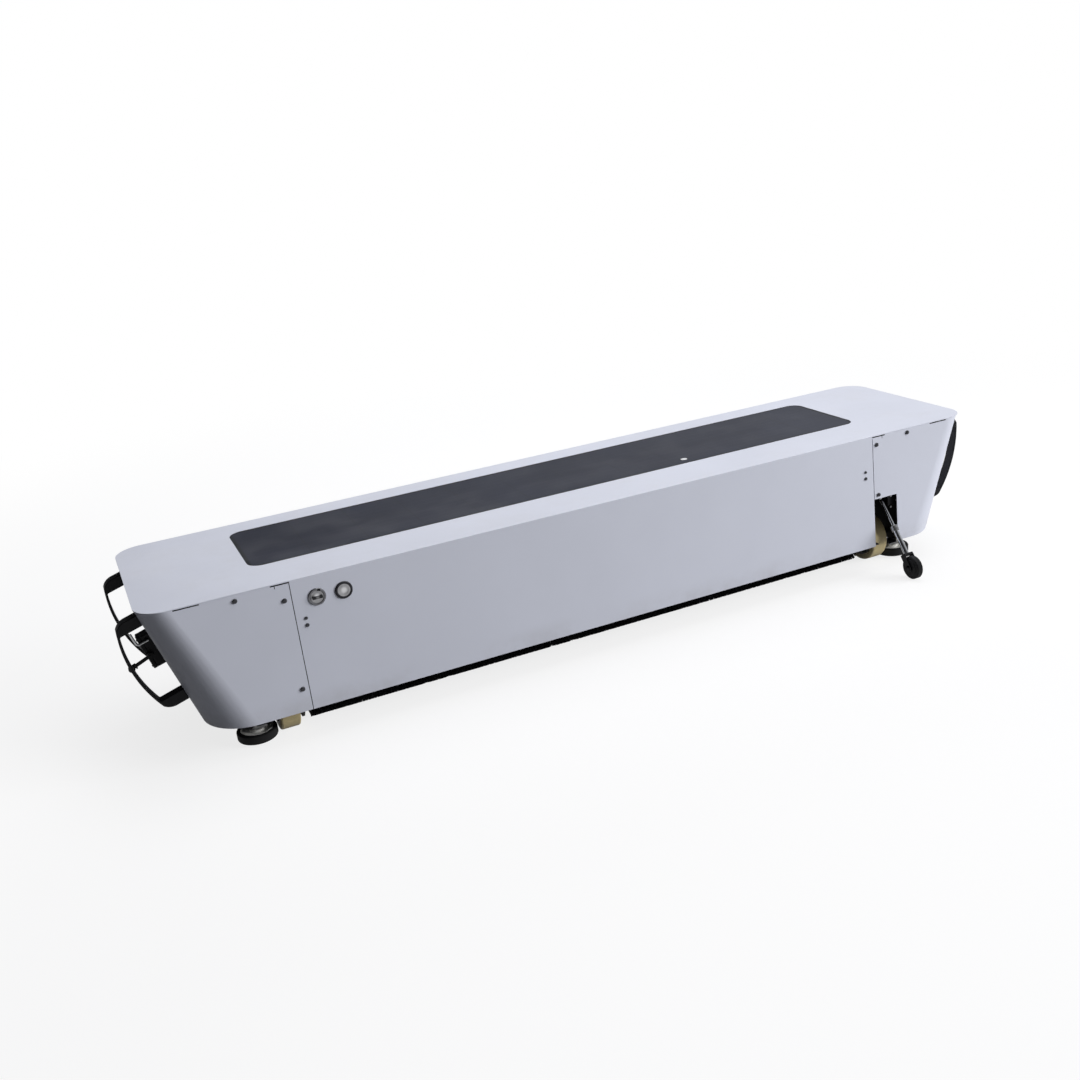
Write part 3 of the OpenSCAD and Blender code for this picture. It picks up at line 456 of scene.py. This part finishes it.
bar_colour, gap_colour = (0.12, 0.125, 0.14, 1), (0.018, 0.019, 0.023, 1)
border_colour, dust_colour = (0.012, 0.013, 0.016, 1), (0.28, 0.285, 0.30, 1)
cell = tint(tree, band(tree, cell_noise.outputs[0], 0.35, 0.65), dark_cell, pale_cell)
for mask, share, colour in ((bar_line, 0.22, bar_colour), (gap_line, 0.6, gap_colour),
                            (border, 0.85, border_colour), (dust, 0.10, dust_colour)):
    cell = tint(tree, reckoned(tree, "MULTIPLY", mask, share), cell, colour)
tree.links.new(cell, surface.inputs["Base Color"])
film = part_node(tree, "ShaderNodeTexVoronoi", {"Vector": place, "Scale": 900.0})
film_bump = part_node(tree, "ShaderNodeBump", {
    "Height": film.outputs["Distance"], "Distance": 0.00005, "Strength": 0.5})
tree.links.new(film_bump.outputs[0], surface.inputs["Normal"])
dusty = reckoned(tree, "MULTIPLY", dust, 0.15)
tree.links.new(reckoned(tree, "ADD", dusty, 0.42), surface.inputs["Roughness"])
finished(laminate, "solar_panel")

sensor_place = (0.282, -0.064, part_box("solar_panel")[1].z)
window_r, ring_r, sensor_foot, sensor_rise = 0.0078, 0.0100, -0.0002, 0.00028
frosted = coating("frosted_window", (0.78, 0.79, 0.80), 0.35, 900, 0.00002, mottle=0.03, mottle_scale=60)
window = bmesh.new()
turned(window, ((0.0, sensor_foot), (window_r, sensor_foot), (window_r, 0.0001), (0.0066, 0.0002),
                (0.0, sensor_rise)), sensor_place, (0, 0, 1))
shown("light_sensor_window", window, frosted, "chassis", 40)
collar = bmesh.new()
turned(collar, ((window_r + 0.0001, sensor_foot), (ring_r, sensor_foot), (ring_r, 0.0001),
                (0.0097, sensor_rise), (0.0082, sensor_rise), (window_r + 0.0001, 0.0001)),
       sensor_place, (0, 0, 1))
shown("light_sensor_ring", collar, stainless, "chassis", 40)
tray_metal = coating("tray_zinc_sheet", (0.42, 0.43, 0.45), 0.45, 700, 0.00003, mottle=0.08, metallic=1.0,
                     mottle_scale=30)
finished(tray_metal, "solar_tray")

# Side plates, end frames and deck: laser-cut steel in black powder coat with a fine texture.
# The frames show through the notches, and the deck and plates from below.
black_coat = coating("black_powder_coat", (0.014, 0.014, 0.016), 0.58, 1100, 0.00012, mottle=0.12,
                     wear=(0.0010, 0.4, (0.10, 0.10, 0.105)), grime=0.08, specular=0.3, mottle_scale=9)
finished(black_coat, "left_side_plate", "right_side_plate", "left_end_frame", "right_end_frame", "deck")

# Rails: lengths of extruded aluminium with slots, one behind each long face of the hood, clear
# anodised, which leaves the metal a little matt and grainy.
anodised = coating("clear_anodised_aluminium", (0.62, 0.63, 0.65), 0.36, 650, 0.00003, mottle=0.05,
                   metallic=1.0, mottle_scale=14)
finished(anodised, "front_rail", "rear_rail")

# Battery and controller: two closed boxes on the deck. The battery's is moulded in dark plastic. The
# controller's is a painted casting, and so are the motors' housings and the brushes' bearing blocks.
battery_case = coating("moulded_battery_case", (0.035, 0.036, 0.04), 0.5, 800, 0.0001, mottle=0.1,
                       mottle_scale=12)
finished(battery_case, "battery")
cast_grey = coating("painted_casting", (0.20, 0.205, 0.215), 0.48, 520, 0.00018, mottle=0.06,
                    wear=(0.0010, 0.5, (0.45, 0.45, 0.46)), mottle_scale=16)
finished(cast_grey, "controller", "left_drive_motor", "right_drive_motor", "brush_bearings")

# Drive train: machined aluminium pulleys, hubs machined and anodised black, and toothed belts of
# black rubber. The teeth are moulded on inside the belt, and here they stand on its straight runs.
machined = coating("machined_aluminium", (0.56, 0.57, 0.59), 0.30, 1500, 0.00003, mottle=0.06,
                   metallic=1.0, mottle_scale=40)
finished(machined, "left_motor_pulley", "right_motor_pulley")
hub_metal = coating("black_anodised_hub", (0.035, 0.035, 0.038), 0.38, 900, 0.00004, mottle=0.1,
                    wear=(0.0008, 0.6, (0.4, 0.4, 0.41)), metallic=0.6, mottle_scale=30)
finished(hub_metal, "front_right_hub", "rear_right_hub", "front_left_hub", "rear_left_hub")
belt_rubber = coating("belt_rubber", (0.028, 0.028, 0.03), 0.62, 1300, 0.0001, mottle=0.15,
                      mottle_scale=25)
finished(belt_rubber, "left_drive_belt", "right_drive_belt")
belt_x = 0.783
tooth_pitch = math.pi * 0.044 / 28
tooth_low, tooth_high = (-0.0049, -0.0001, -0.0012), (0.0049, 0.0012, 0.0012)
clear_of_pulley = 0.010
belt_rounds = ((-0.141, 0.0576, 0.0223), (0.0, 0.150, 0.01758), (0.141, 0.0576, 0.0223))
for label, x_side in (("left", -1), ("right", 1)):
    teeth = bmesh.new()
    for (y1, z1, r1), (y2, z2, r2) in zip(belt_rounds, belt_rounds[1:] + belt_rounds[:1]):
        between = Vector((0, y2 - y1, z2 - z1))
        way = between.normalized()
        tilt = (r1 - r2) / between.length
        out = way * tilt + Vector((0, -way.z, way.y)) * math.sqrt(1 - tilt * tilt)
        start = Vector((0, y1, z1)) + out * r1
        end = Vector((0, y2, z2)) + out * r2
        way = (end - start).normalized()
        count = int(((end - start).length - 2 * clear_of_pulley) / tooth_pitch)
        turn = Matrix(((1, 0, 0), -out, Vector((1, 0, 0)).cross(-out))).transposed().to_4x4()
        for k in range(count + 1):
            spot = start + way * (clear_of_pulley + k * tooth_pitch) + Vector((x_side * belt_x, 0, 0))
            tooth = block(teeth, tooth_low, tooth_high)
            bmesh.ops.transform(teeth, matrix=Matrix.Translation(spot) @ turn, verts=tooth)
    shown(label + "_belt_teeth", teeth, belt_rubber, "chassis", 30)

# Tyres: tan polyurethane cast on the hubs, smooth and slightly glossy, and a little darker along the
# edges where they have run.
tan_cast = coating("tan_polyurethane", (0.80, 0.665, 0.36), 0.46, 260, 0.00012, mottle=0.07,
                   wear=(0.0015, 0.3, (0.34, 0.27, 0.13)), coat=0.08, mottle_scale=22)
finished(tan_cast, "front_right_tyre", "rear_right_tyre", "front_left_tyre", "rear_left_tyre")

# Brushes: a black anodised tube, drilled and set all round with tufts of black nylon filament. The
# tufts stand 32 mm high, each ring of them turned on from the one before, and are cut to one round.
tube_black = coating("black_anodised_tube", (0.020, 0.020, 0.023), 0.45, 700, 0.00004, mottle=0.15,
                     metallic=0.4, specular=0.3, mottle_scale=20)
finished(tube_black, "front_brush_core", "rear_brush_core")
nylon = coating("black_nylon_filament", (0.014, 0.014, 0.016), 0.5, 300, 0.00004, mottle=0.3, mottle_scale=90,
                specular=0.25)
brush_length = 1.396
brush_z = 0.0576
root_r = 0.0248
tip_r = 0.0566
tuft_length = tip_r - root_r + 0.001
tuft_r, splay = 0.0014, 3.2
filaments, filament_r, filament_tip_r = 3, 0.0010, 0.0009
golden_turn = 2.39996
longest_stray = 0.0022
tufts_in_ring = 50
rings_in_stretch = 16
stretches = 13
ring_turn = math.radians(18.85)
ring_step = brush_length / (rings_in_stretch * stretches - 1)
for label, y, hand in (("front", -0.123, 1), ("rear", 0.123, -1)):
    strands = bmesh.new()
    for k in range(filaments):
        made = bmesh.ops.create_cone(strands, cap_ends=False, segments=3, radius1=filament_r,
                                     radius2=filament_tip_r, depth=tuft_length)
        turn = k * golden_turn
        from_middle = tuft_r * math.sqrt((k + 0.5) / filaments)
        for v in made["verts"]:
            apart = from_middle * (splay if v.co.z > 0 else 1.0)
            v.co += Vector((math.cos(turn) * apart, math.sin(turn) * apart, root_r + tuft_length / 2))
    first_ring = Matrix.Translation((-brush_length / 2, y, brush_z))
    bmesh.ops.transform(strands, matrix=first_ring, verts=strands.verts)
    for copies, turn, step in ((tufts_in_ring, 2 * math.pi / tufts_in_ring, 0),
                               (rings_in_stretch, hand * ring_turn, ring_step)):
        bmesh.ops.spin(strands, geom=strands.verts[:] + strands.edges[:] + strands.faces[:],
                       cent=(0, y, brush_z), axis=(1, 0, 0), dvec=(step, 0, 0), angle=turn * (copies - 1),
                       steps=copies - 1, use_merge=False, use_duplicate=True)
    for v in strands.verts:
        away = Vector((0, v.co.y - y, v.co.z - brush_z))
        share = max(0.0, (away.length - root_r) / tuft_length)
        stray = Vector((math.sin(v.co.x * 911 + v.co.z * 370), math.sin(v.co.y * 830 + v.co.x * 120),
                        math.cos(v.co.z * 790 + v.co.x * 450)))
        v.co += stray * (longest_stray * share)
        away = Vector((0, v.co.y - y, v.co.z - brush_z))
        if away.length > tip_r:
            v.co -= away.normalized() * (away.length - tip_r)
    stretch = bpy.data.meshes.new(label + "_stretch")
    strands.to_mesh(stretch)
    onward = (Matrix.Translation((ring_step * rings_in_stretch, y, brush_z))
              @ Matrix.Rotation(hand * ring_turn * rings_in_stretch, 4, "X")
              @ Matrix.Translation((0, -y, -brush_z)))
    for _ in range(stretches - 1):
        stretch.transform(onward)
        strands.from_mesh(stretch)
    bpy.data.meshes.remove(stretch)
    shown(label + "_filaments", strands, nylon, label + "_brush", 180,
          (label + "_bristles",))

# Guide wheels: white nylon hubs turned from bar with a black rubber tread moulded on, turning on
# zinc-plated steel brackets under the covers. Four hexagon socket screws hold each bracket.
white_nylon = coating("turned_white_nylon", (0.78, 0.775, 0.74), 0.40, 500, 0.00005, mottle=0.03,
                      wear=(0.0015, 0.5, (0.5, 0.49, 0.46)), mottle_scale=18)
zinc_steel = coating("zinc_plated_steel", (0.50, 0.50, 0.50), 0.34, 800, 0.00003, mottle=0.12,
                     metallic=1.0, mottle_scale=35)
tread_rubber = coating("black_tread_rubber", (0.016, 0.016, 0.017), 0.6, 900, 0.0001, mottle=0.2,
                       specular=0.3, mottle_scale=25)
bolt_x, bolt_y, bolt_half_y = 0.82395, 0.158, 0.010
bolt_heights = (0.060, 0.080)
bore_r, boss_r, boss_foot_r, dish_below, dish_above = 0.00606, 0.0150, 0.0165, 0.0030, 0.0040
for corner in ("front_right", "rear_right", "front_left", "rear_left"):
    finished(zinc_steel, corner + "_guide_bracket")
    side = -1 if "left" in corner else 1
    middle_y = -bolt_y if "front" in corner else bolt_y
    bolts = bmesh.new()
    for y in (middle_y - bolt_half_y, middle_y + bolt_half_y):
        for z in bolt_heights:
            socket_screw(bolts, (side * bolt_x, y, z), (side, 0, 0), 0.009, 0.5)
    shown(corner + "_bracket_bolts", bolts, stainless, "chassis", 30)
    low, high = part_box(corner + "_guide_wheel")
    place = ((low.x + high.x) / 2, (low.y + high.y) / 2, low.z)
    r, depth = (high.x - low.x) / 2, high.z - low.z
    hub_r, rim_r, rim_foot_r = r - 0.0080, r - 0.0095, r - 0.0110
    hub = bmesh.new()
    turned(hub, ((bore_r, 0), (boss_r, 0), (boss_foot_r, dish_below), (rim_foot_r, dish_below), (rim_r, 0),
                 (hub_r, 0), (hub_r, depth), (rim_r, depth), (rim_foot_r, depth - dish_above),
                 (boss_foot_r, depth - dish_above), (boss_r, depth), (bore_r, depth)), place, (0, 0, 1), 72)
    shown(corner + "_guide_hub", hub, white_nylon, corner + "_guide", 30,
          (corner + "_guide_wheel",))
    tread = bmesh.new()
    lower_half = ((hub_r, 0.0003), (r - 0.0030, 0.0003), (r - 0.0010, 0.0012), (r, 0.0032))
    upper_half = tuple((reach, depth - height) for reach, height in reversed(lower_half))
    turned(tread, lower_half + upper_half, place, (0, 0, 1), 72)
    shown(corner + "_guide_tread", tread, tread_rubber, corner + "_guide", 40)

# Corner switches: a moulded switch body on each end frame, a chromed lever with a thicker sleeve
# clamped to its lower half, a black fork of bent strip, and a moulded rubber roller in the fork.
black_plastic = coating("moulded_black_plastic", (0.011, 0.011, 0.013), 0.44, 1200, 0.00008, mottle=0.12,
                        mottle_scale=15, wear=(0.0008, 0.3, (0.06, 0.06, 0.065)), specular=0.32)
finished(black_plastic, "front_switch", "rear_switch")
switch_face_y = 0.21695
switch_screws = bmesh.new()
for side in (-1, 1):
    for x, z in ((0.767, 0.180), (0.785, 0.166), (0.767, 0.152)):
        socket_screw(switch_screws, (-side * x, side * switch_face_y, z), (0, side, 0), 0.006)
shown("switch_screws", switch_screws, zinc_steel, "chassis", 30)
chrome = coating("bright_chrome", (0.80, 0.81, 0.82), 0.12, 200, 0.00001, mottle=0.03, metallic=1.0,
                 mottle_scale=30, spread=0.03)
roller_rubber = coating("roller_rubber", (0.011, 0.011, 0.012), 0.55, 900, 0.0001, mottle=0.2, specular=0.3,
                        mottle_scale=25)
finished(roller_rubber, "front_roller", "rear_roller", "end_roller")
lever_length = 0.1934
lever_lean = math.radians(39.1)
lever_pivot = Vector((0.747, -0.199, 0.179))
pivot_half, pivot_r = 0.0055, 0.010
lever_r, lever_from, lever_to = 0.004, 0.008, 0.095
sleeve_r, sleeve_from, sleeve_end = 0.0065, 0.083, lever_length - 0.031
clamp_r, clamp_top, clamp_middle, clamp_foot = 0.009, 0.082, 0.089, 0.096
bridge_below, bridge_above = 0.0004, 0.0056
fork_half_gap, strip_thick, strip_half = 0.0108, 0.0026, 0.008
axle_half, axle_r = 0.0145, 0.0029


def round_bar(bm, low, high, radius, chamfer=0.0):
    low, high = Vector(low), Vector(high)
    before = set(bm.verts)
    made = bmesh.ops.create_cone(bm, cap_ends=True, cap_tris=False, segments=32, radius1=radius,
                                 radius2=radius, depth=(high - low).length)["verts"]
    if chamfer:
        edges = set(e for v in made for e in v.link_edges)
        rounded(bm, [e for e in edges if any(len(f.verts) > 4 for f in e.link_faces)], chamfer, 2)
    stood(bm, [v for v in bm.verts if v not in before], (low + high) / 2, high - low)


for label, body, half_turn in (("front", "front_arm", 0), ("rear", "rear_arm", math.pi)):
    place = (Matrix.Rotation(half_turn, 4, "Z") @ Matrix.Translation(lever_pivot)
             @ Matrix.Rotation(-lever_lean, 4, "X"))
    rod = bmesh.new()
    round_bar(rod, (-pivot_half, 0, 0), (pivot_half, 0, 0), pivot_r, 0.0008)
    round_bar(rod, (0, 0, -lever_to), (0, 0, -lever_from), lever_r)
    round_bar(rod, (0, 0, -sleeve_end), (0, 0, -sleeve_from), sleeve_r, 0.0010)
    bmesh.ops.transform(rod, matrix=place, verts=rod.verts)
    shown(label + "_lever_rod", rod, chrome, body, 30, (label + "_lever",))
    clamp = bmesh.new()
    round_bar(clamp, (0, 0, -clamp_foot), (0, 0, -clamp_top), clamp_r, 0.0012)
    bmesh.ops.transform(clamp, matrix=place, verts=clamp.verts)
    for out in (Vector((0, -1, 0)), Vector((1, 0, 0))):
        spot = place @ (out * (clamp_r - 0.0002) - Vector((0, 0, clamp_middle)))
        socket_screw(clamp, spot, place.to_3x3() @ out, 0.0055)
    shown(label + "_lever_clamp", clamp, zinc_steel, body, 30)
    fork = bmesh.new()
    fork_half = fork_half_gap + strip_thick
    block(fork, (-fork_half, -strip_half, -sleeve_end - bridge_below),
          (fork_half, strip_half, -sleeve_end + bridge_above), 0.0014, 3)
    for low_x in (-fork_half, fork_half_gap):
        high_x = low_x + strip_thick
        block(fork, (low_x, 0.0001 - strip_half, -lever_length),
              (high_x, strip_half - 0.0001, -sleeve_end + 0.002), 0.0006)
        round_bar(fork, (low_x, 0, -lever_length), (high_x, 0, -lever_length), strip_half, 0.0006)
    round_bar(fork, (-axle_half, 0, -lever_length), (axle_half, 0, -lever_length), axle_r, 0.0005)
    bmesh.ops.transform(fork, matrix=place, verts=fork.verts)
    shown(label + "_lever_fork", fork, black_plastic, body, 30)

# End switch: a limit switch in a moulded black case on the end wall between the handles, with a bent
# chromed guard rod and a short sprung plastic lever that carries a rubber roller.
hood_end, wall_taper, wall_z = 1.0, 0.084, 0.194
wall_lean = math.atan(wall_taper / face_height)
wall_place = (Matrix.Rotation(math.pi, 4, "Z")
              @ Matrix.Translation((hood_end - (hood_top - wall_z) * math.tan(wall_lean), 0, wall_z))
              @ Matrix.Rotation(math.pi / 2 + wall_lean, 4, "Y"))
mounting_plate = ((-0.046, -0.019, 0.0002), (0.046, 0.019, 0.004), 0.0009)
case_body = ((-0.041, -0.015, 0.003), (0.037, 0.015, 0.0285), 0.0022, 3)
case_joint = ((-0.0405, -0.0145, 0.028), (0.0365, 0.0145, 0.0295))
case_lid = ((-0.041, -0.015, 0.0291), (0.037, 0.015, 0.038), 0.0022, 3)
guard_boss = ((-0.028, 0.0148, 0.020), (-0.028, 0.021, 0.020), 0.0045, 0.0006)
lever_pin = ((0.004, 0.0, 0.030), (0.004, 0.026, 0.030), 0.003, 0.0005)
case = bmesh.new()
for sizes in (mounting_plate, case_body, case_joint, case_lid):
    block(case, *sizes)
for sizes in (guard_boss, lever_pin):
    round_bar(case, *sizes)
bmesh.ops.transform(case, matrix=wall_place, verts=case.verts)
shown("end_switch_case", case, black_plastic, "chassis", 30, ("end_switch",))
lid_z = 0.0379
case_screws = bmesh.new()
case_out = wall_place.to_3x3() @ Vector((0, 0, 1))
for x, y in ((-0.035, -0.0095), (-0.035, 0.0095), (0.031, -0.0095), (0.031, 0.0095)):
    socket_screw(case_screws, wall_place @ Vector((x, y, lid_z)), case_out, 0.005)
shown("end_switch_screws", case_screws, stainless, "chassis", 30)
guard_foot, guard_r, guard_bend_r = Vector((-0.028, 0.019, 0.017)), 0.0025, 0.006
guard_rise, guard_reach = Vector((0, 0, 0.019)), Vector((-0.0235, 0, 0))
guard = bmesh.new()
ring = bmesh.ops.create_circle(guard, cap_ends=True, segments=20, radius=guard_r)["verts"]
bmesh.ops.translate(guard, verts=ring, vec=guard_foot)
risen = bmesh.ops.extrude_face_region(guard, geom=guard.faces[:])["geom"]
bmesh.ops.translate(guard, verts=picked(risen, bmesh.types.BMVert), vec=guard_rise)
end = picked(risen, bmesh.types.BMFace)
bend_middle = guard_foot + guard_rise - Vector((guard_bend_r, 0, 0))
bent = bmesh.ops.spin(guard, geom=end + list(end[0].edges) + list(end[0].verts), cent=bend_middle,
                      axis=(0, -1, 0), dvec=(0, 0, 0), angle=math.pi / 2, steps=8, use_merge=False,
                      use_duplicate=False)["geom_last"]
drawn_out = bmesh.ops.extrude_face_region(guard, geom=picked(bent, bmesh.types.BMFace))["geom"]
bmesh.ops.translate(guard, verts=picked(drawn_out, bmesh.types.BMVert), vec=guard_reach)
bmesh.ops.recalc_face_normals(guard, faces=guard.faces)
bmesh.ops.transform(guard, matrix=wall_place, verts=guard.verts)
shown("end_switch_guard", guard, chrome, "chassis", 40)
finished(black_plastic, "end_lever")

# Handles: bow handles moulded in black glass-filled nylon, bolted to the end walls. The copies get
# the soft edges that the mould leaves along the grip and round the feet.
for node in ("right_front_handle", "right_rear_handle", "left_front_handle", "left_rear_handle"):
    bow = merged_copy(node)
    eased(bow, 0.0019, 3, 40)
    shown(node + "_bow", bow, black_plastic, "chassis", 35, (node,))

# Push button and key switch, set in the front face: black anodised bezel and turned steel cap on the button,
# grey bezel with a black marker and a black key grip on the switch. Both steel faces carry a painted
# highlight: a pale spot over the middle, fading out by 9 mm from it, where the metal is also made less
# metallic.
bezel_black = coating("black_anodised_bezel", (0.030, 0.030, 0.036), 0.42, 900, 0.00002, mottle=0.1,
                      wear=(0.0005, 0.35, (0.14, 0.14, 0.15)), specular=0.3, mottle_scale=60)
finished(bezel_black, "button_rim")
bezel_grey = coating("grey_plated_bezel", (0.30, 0.30, 0.32), 0.30, 900, 0.00002, mottle=0.1, metallic=0.9,
                     wear=(0.0006, 0.5, (0.4, 0.4, 0.42)), mottle_scale=60)
finished(bezel_grey, "key_rim")
face_out = Vector((0, -math.cos(face_lean), math.sin(face_lean)))


def turned_steel(name, centre, colour, grip_rise):
    # the second colour here is the painted highlight's
    grip_black, painted_glint_colour = (0.012, 0.012, 0.014, 1), (0.92, 0.92, 0.94, 1)
    glint_outer_r, glint_full_r = 0.009, 0.003
    lathe_lines, line_depth = 9000, 0.000004
    material, tree, surface = bare_finish(name, {"Anisotropic": 0.9, "Anisotropic Rotation": 0.25})
    place = part_node(tree, "ShaderNodeTexCoord").outputs["Object"]
    from_middle = part_node(tree, "ShaderNodeVectorMath", {0: place, 1: centre},
                            operation="SUBTRACT").outputs[0]
    around = part_node(tree, "ShaderNodeVectorMath", {0: face_out, 1: from_middle},
                       operation="CROSS_PRODUCT")
    in_world = part_node(tree, "ShaderNodeVectorTransform", {0: around.outputs[0]}, vector_type="VECTOR",
                         convert_from="OBJECT", convert_to="WORLD")
    tree.links.new(in_world.outputs[0], surface.inputs["Tangent"])
    height = part_node(tree, "ShaderNodeVectorMath", {0: from_middle, 1: face_out},
                       operation="DOT_PRODUCT")
    grip = band(tree, height.outputs["Value"], grip_rise, grip_rise + 0.0002)
    distance = part_node(tree, "ShaderNodeVectorMath", {0: from_middle},
                         operation="LENGTH").outputs["Value"]
    # painted highlight: full within 3 mm of the middle, gone by 9 mm
    painted_highlight = band(tree, distance, glint_outer_r, glint_full_r)
    lines = reckoned(tree, "SINE", reckoned(tree, "MULTIPLY", distance, lathe_lines))
    mottle = part_node(tree, "ShaderNodeGroup", {"Grain Scale": 900, "Mottle Scale": 80},
                       node_tree=surface_grain).outputs["Mottle"]
    shade = tint(tree, band(tree, mottle, 0.3, 0.7), tuple(c * 0.85 for c in colour) + (1,), colour + (1,))
    shade = tint(tree, painted_highlight, tint(tree, grip, shade, grip_black), painted_glint_colour)
    tree.links.new(shade, surface.inputs["Base Color"])
    # less metallic under the painted highlight
    clear = reckoned(tree, "MULTIPLY", reckoned(tree, "SUBTRACT", 1.0, painted_highlight), 0.7)
    metal = reckoned(tree, "MULTIPLY", clear, reckoned(tree, "SUBTRACT", 1.0, grip))
    tree.links.new(metal, surface.inputs["Metallic"])
    mottled = reckoned(tree, "MULTIPLY", mottle, 0.12)
    tree.links.new(reckoned(tree, "ADD", mottled, 0.24), surface.inputs["Roughness"])
    bump = part_node(tree, "ShaderNodeBump", {"Height": lines, "Distance": line_depth, "Strength": 0.3})
    tree.links.new(bump.outputs[0], surface.inputs["Normal"])
    return material


button_place = face_point(-0.604, 0.298)
key_place = face_point(-0.659, 0.298)
above_button, above_lock = 0.1, 0.0017
finished(turned_steel("turned_steel_cap", button_place, (0.68, 0.68, 0.70), above_button), "button_cap")
finished(turned_steel("turned_steel_lock", key_place, (0.66, 0.66, 0.68), above_lock), "key_knob")
marker = bmesh.new()
marker_low, marker_high = (-0.0032, 0.0128, 0.0026), (0.0032, 0.0176, 0.0040)
block(marker, marker_low, marker_high, 0.0004)
marker_turn = Matrix.Rotation(math.radians(-20), 4, "Z")
upright = Matrix.Translation(key_place) @ Matrix.Rotation(math.pi / 2 - face_lean, 4, "X") @ marker_turn
bmesh.ops.transform(marker, matrix=upright, verts=marker.verts)
shown("key_marker", marker, black_plastic, "chassis", 30)
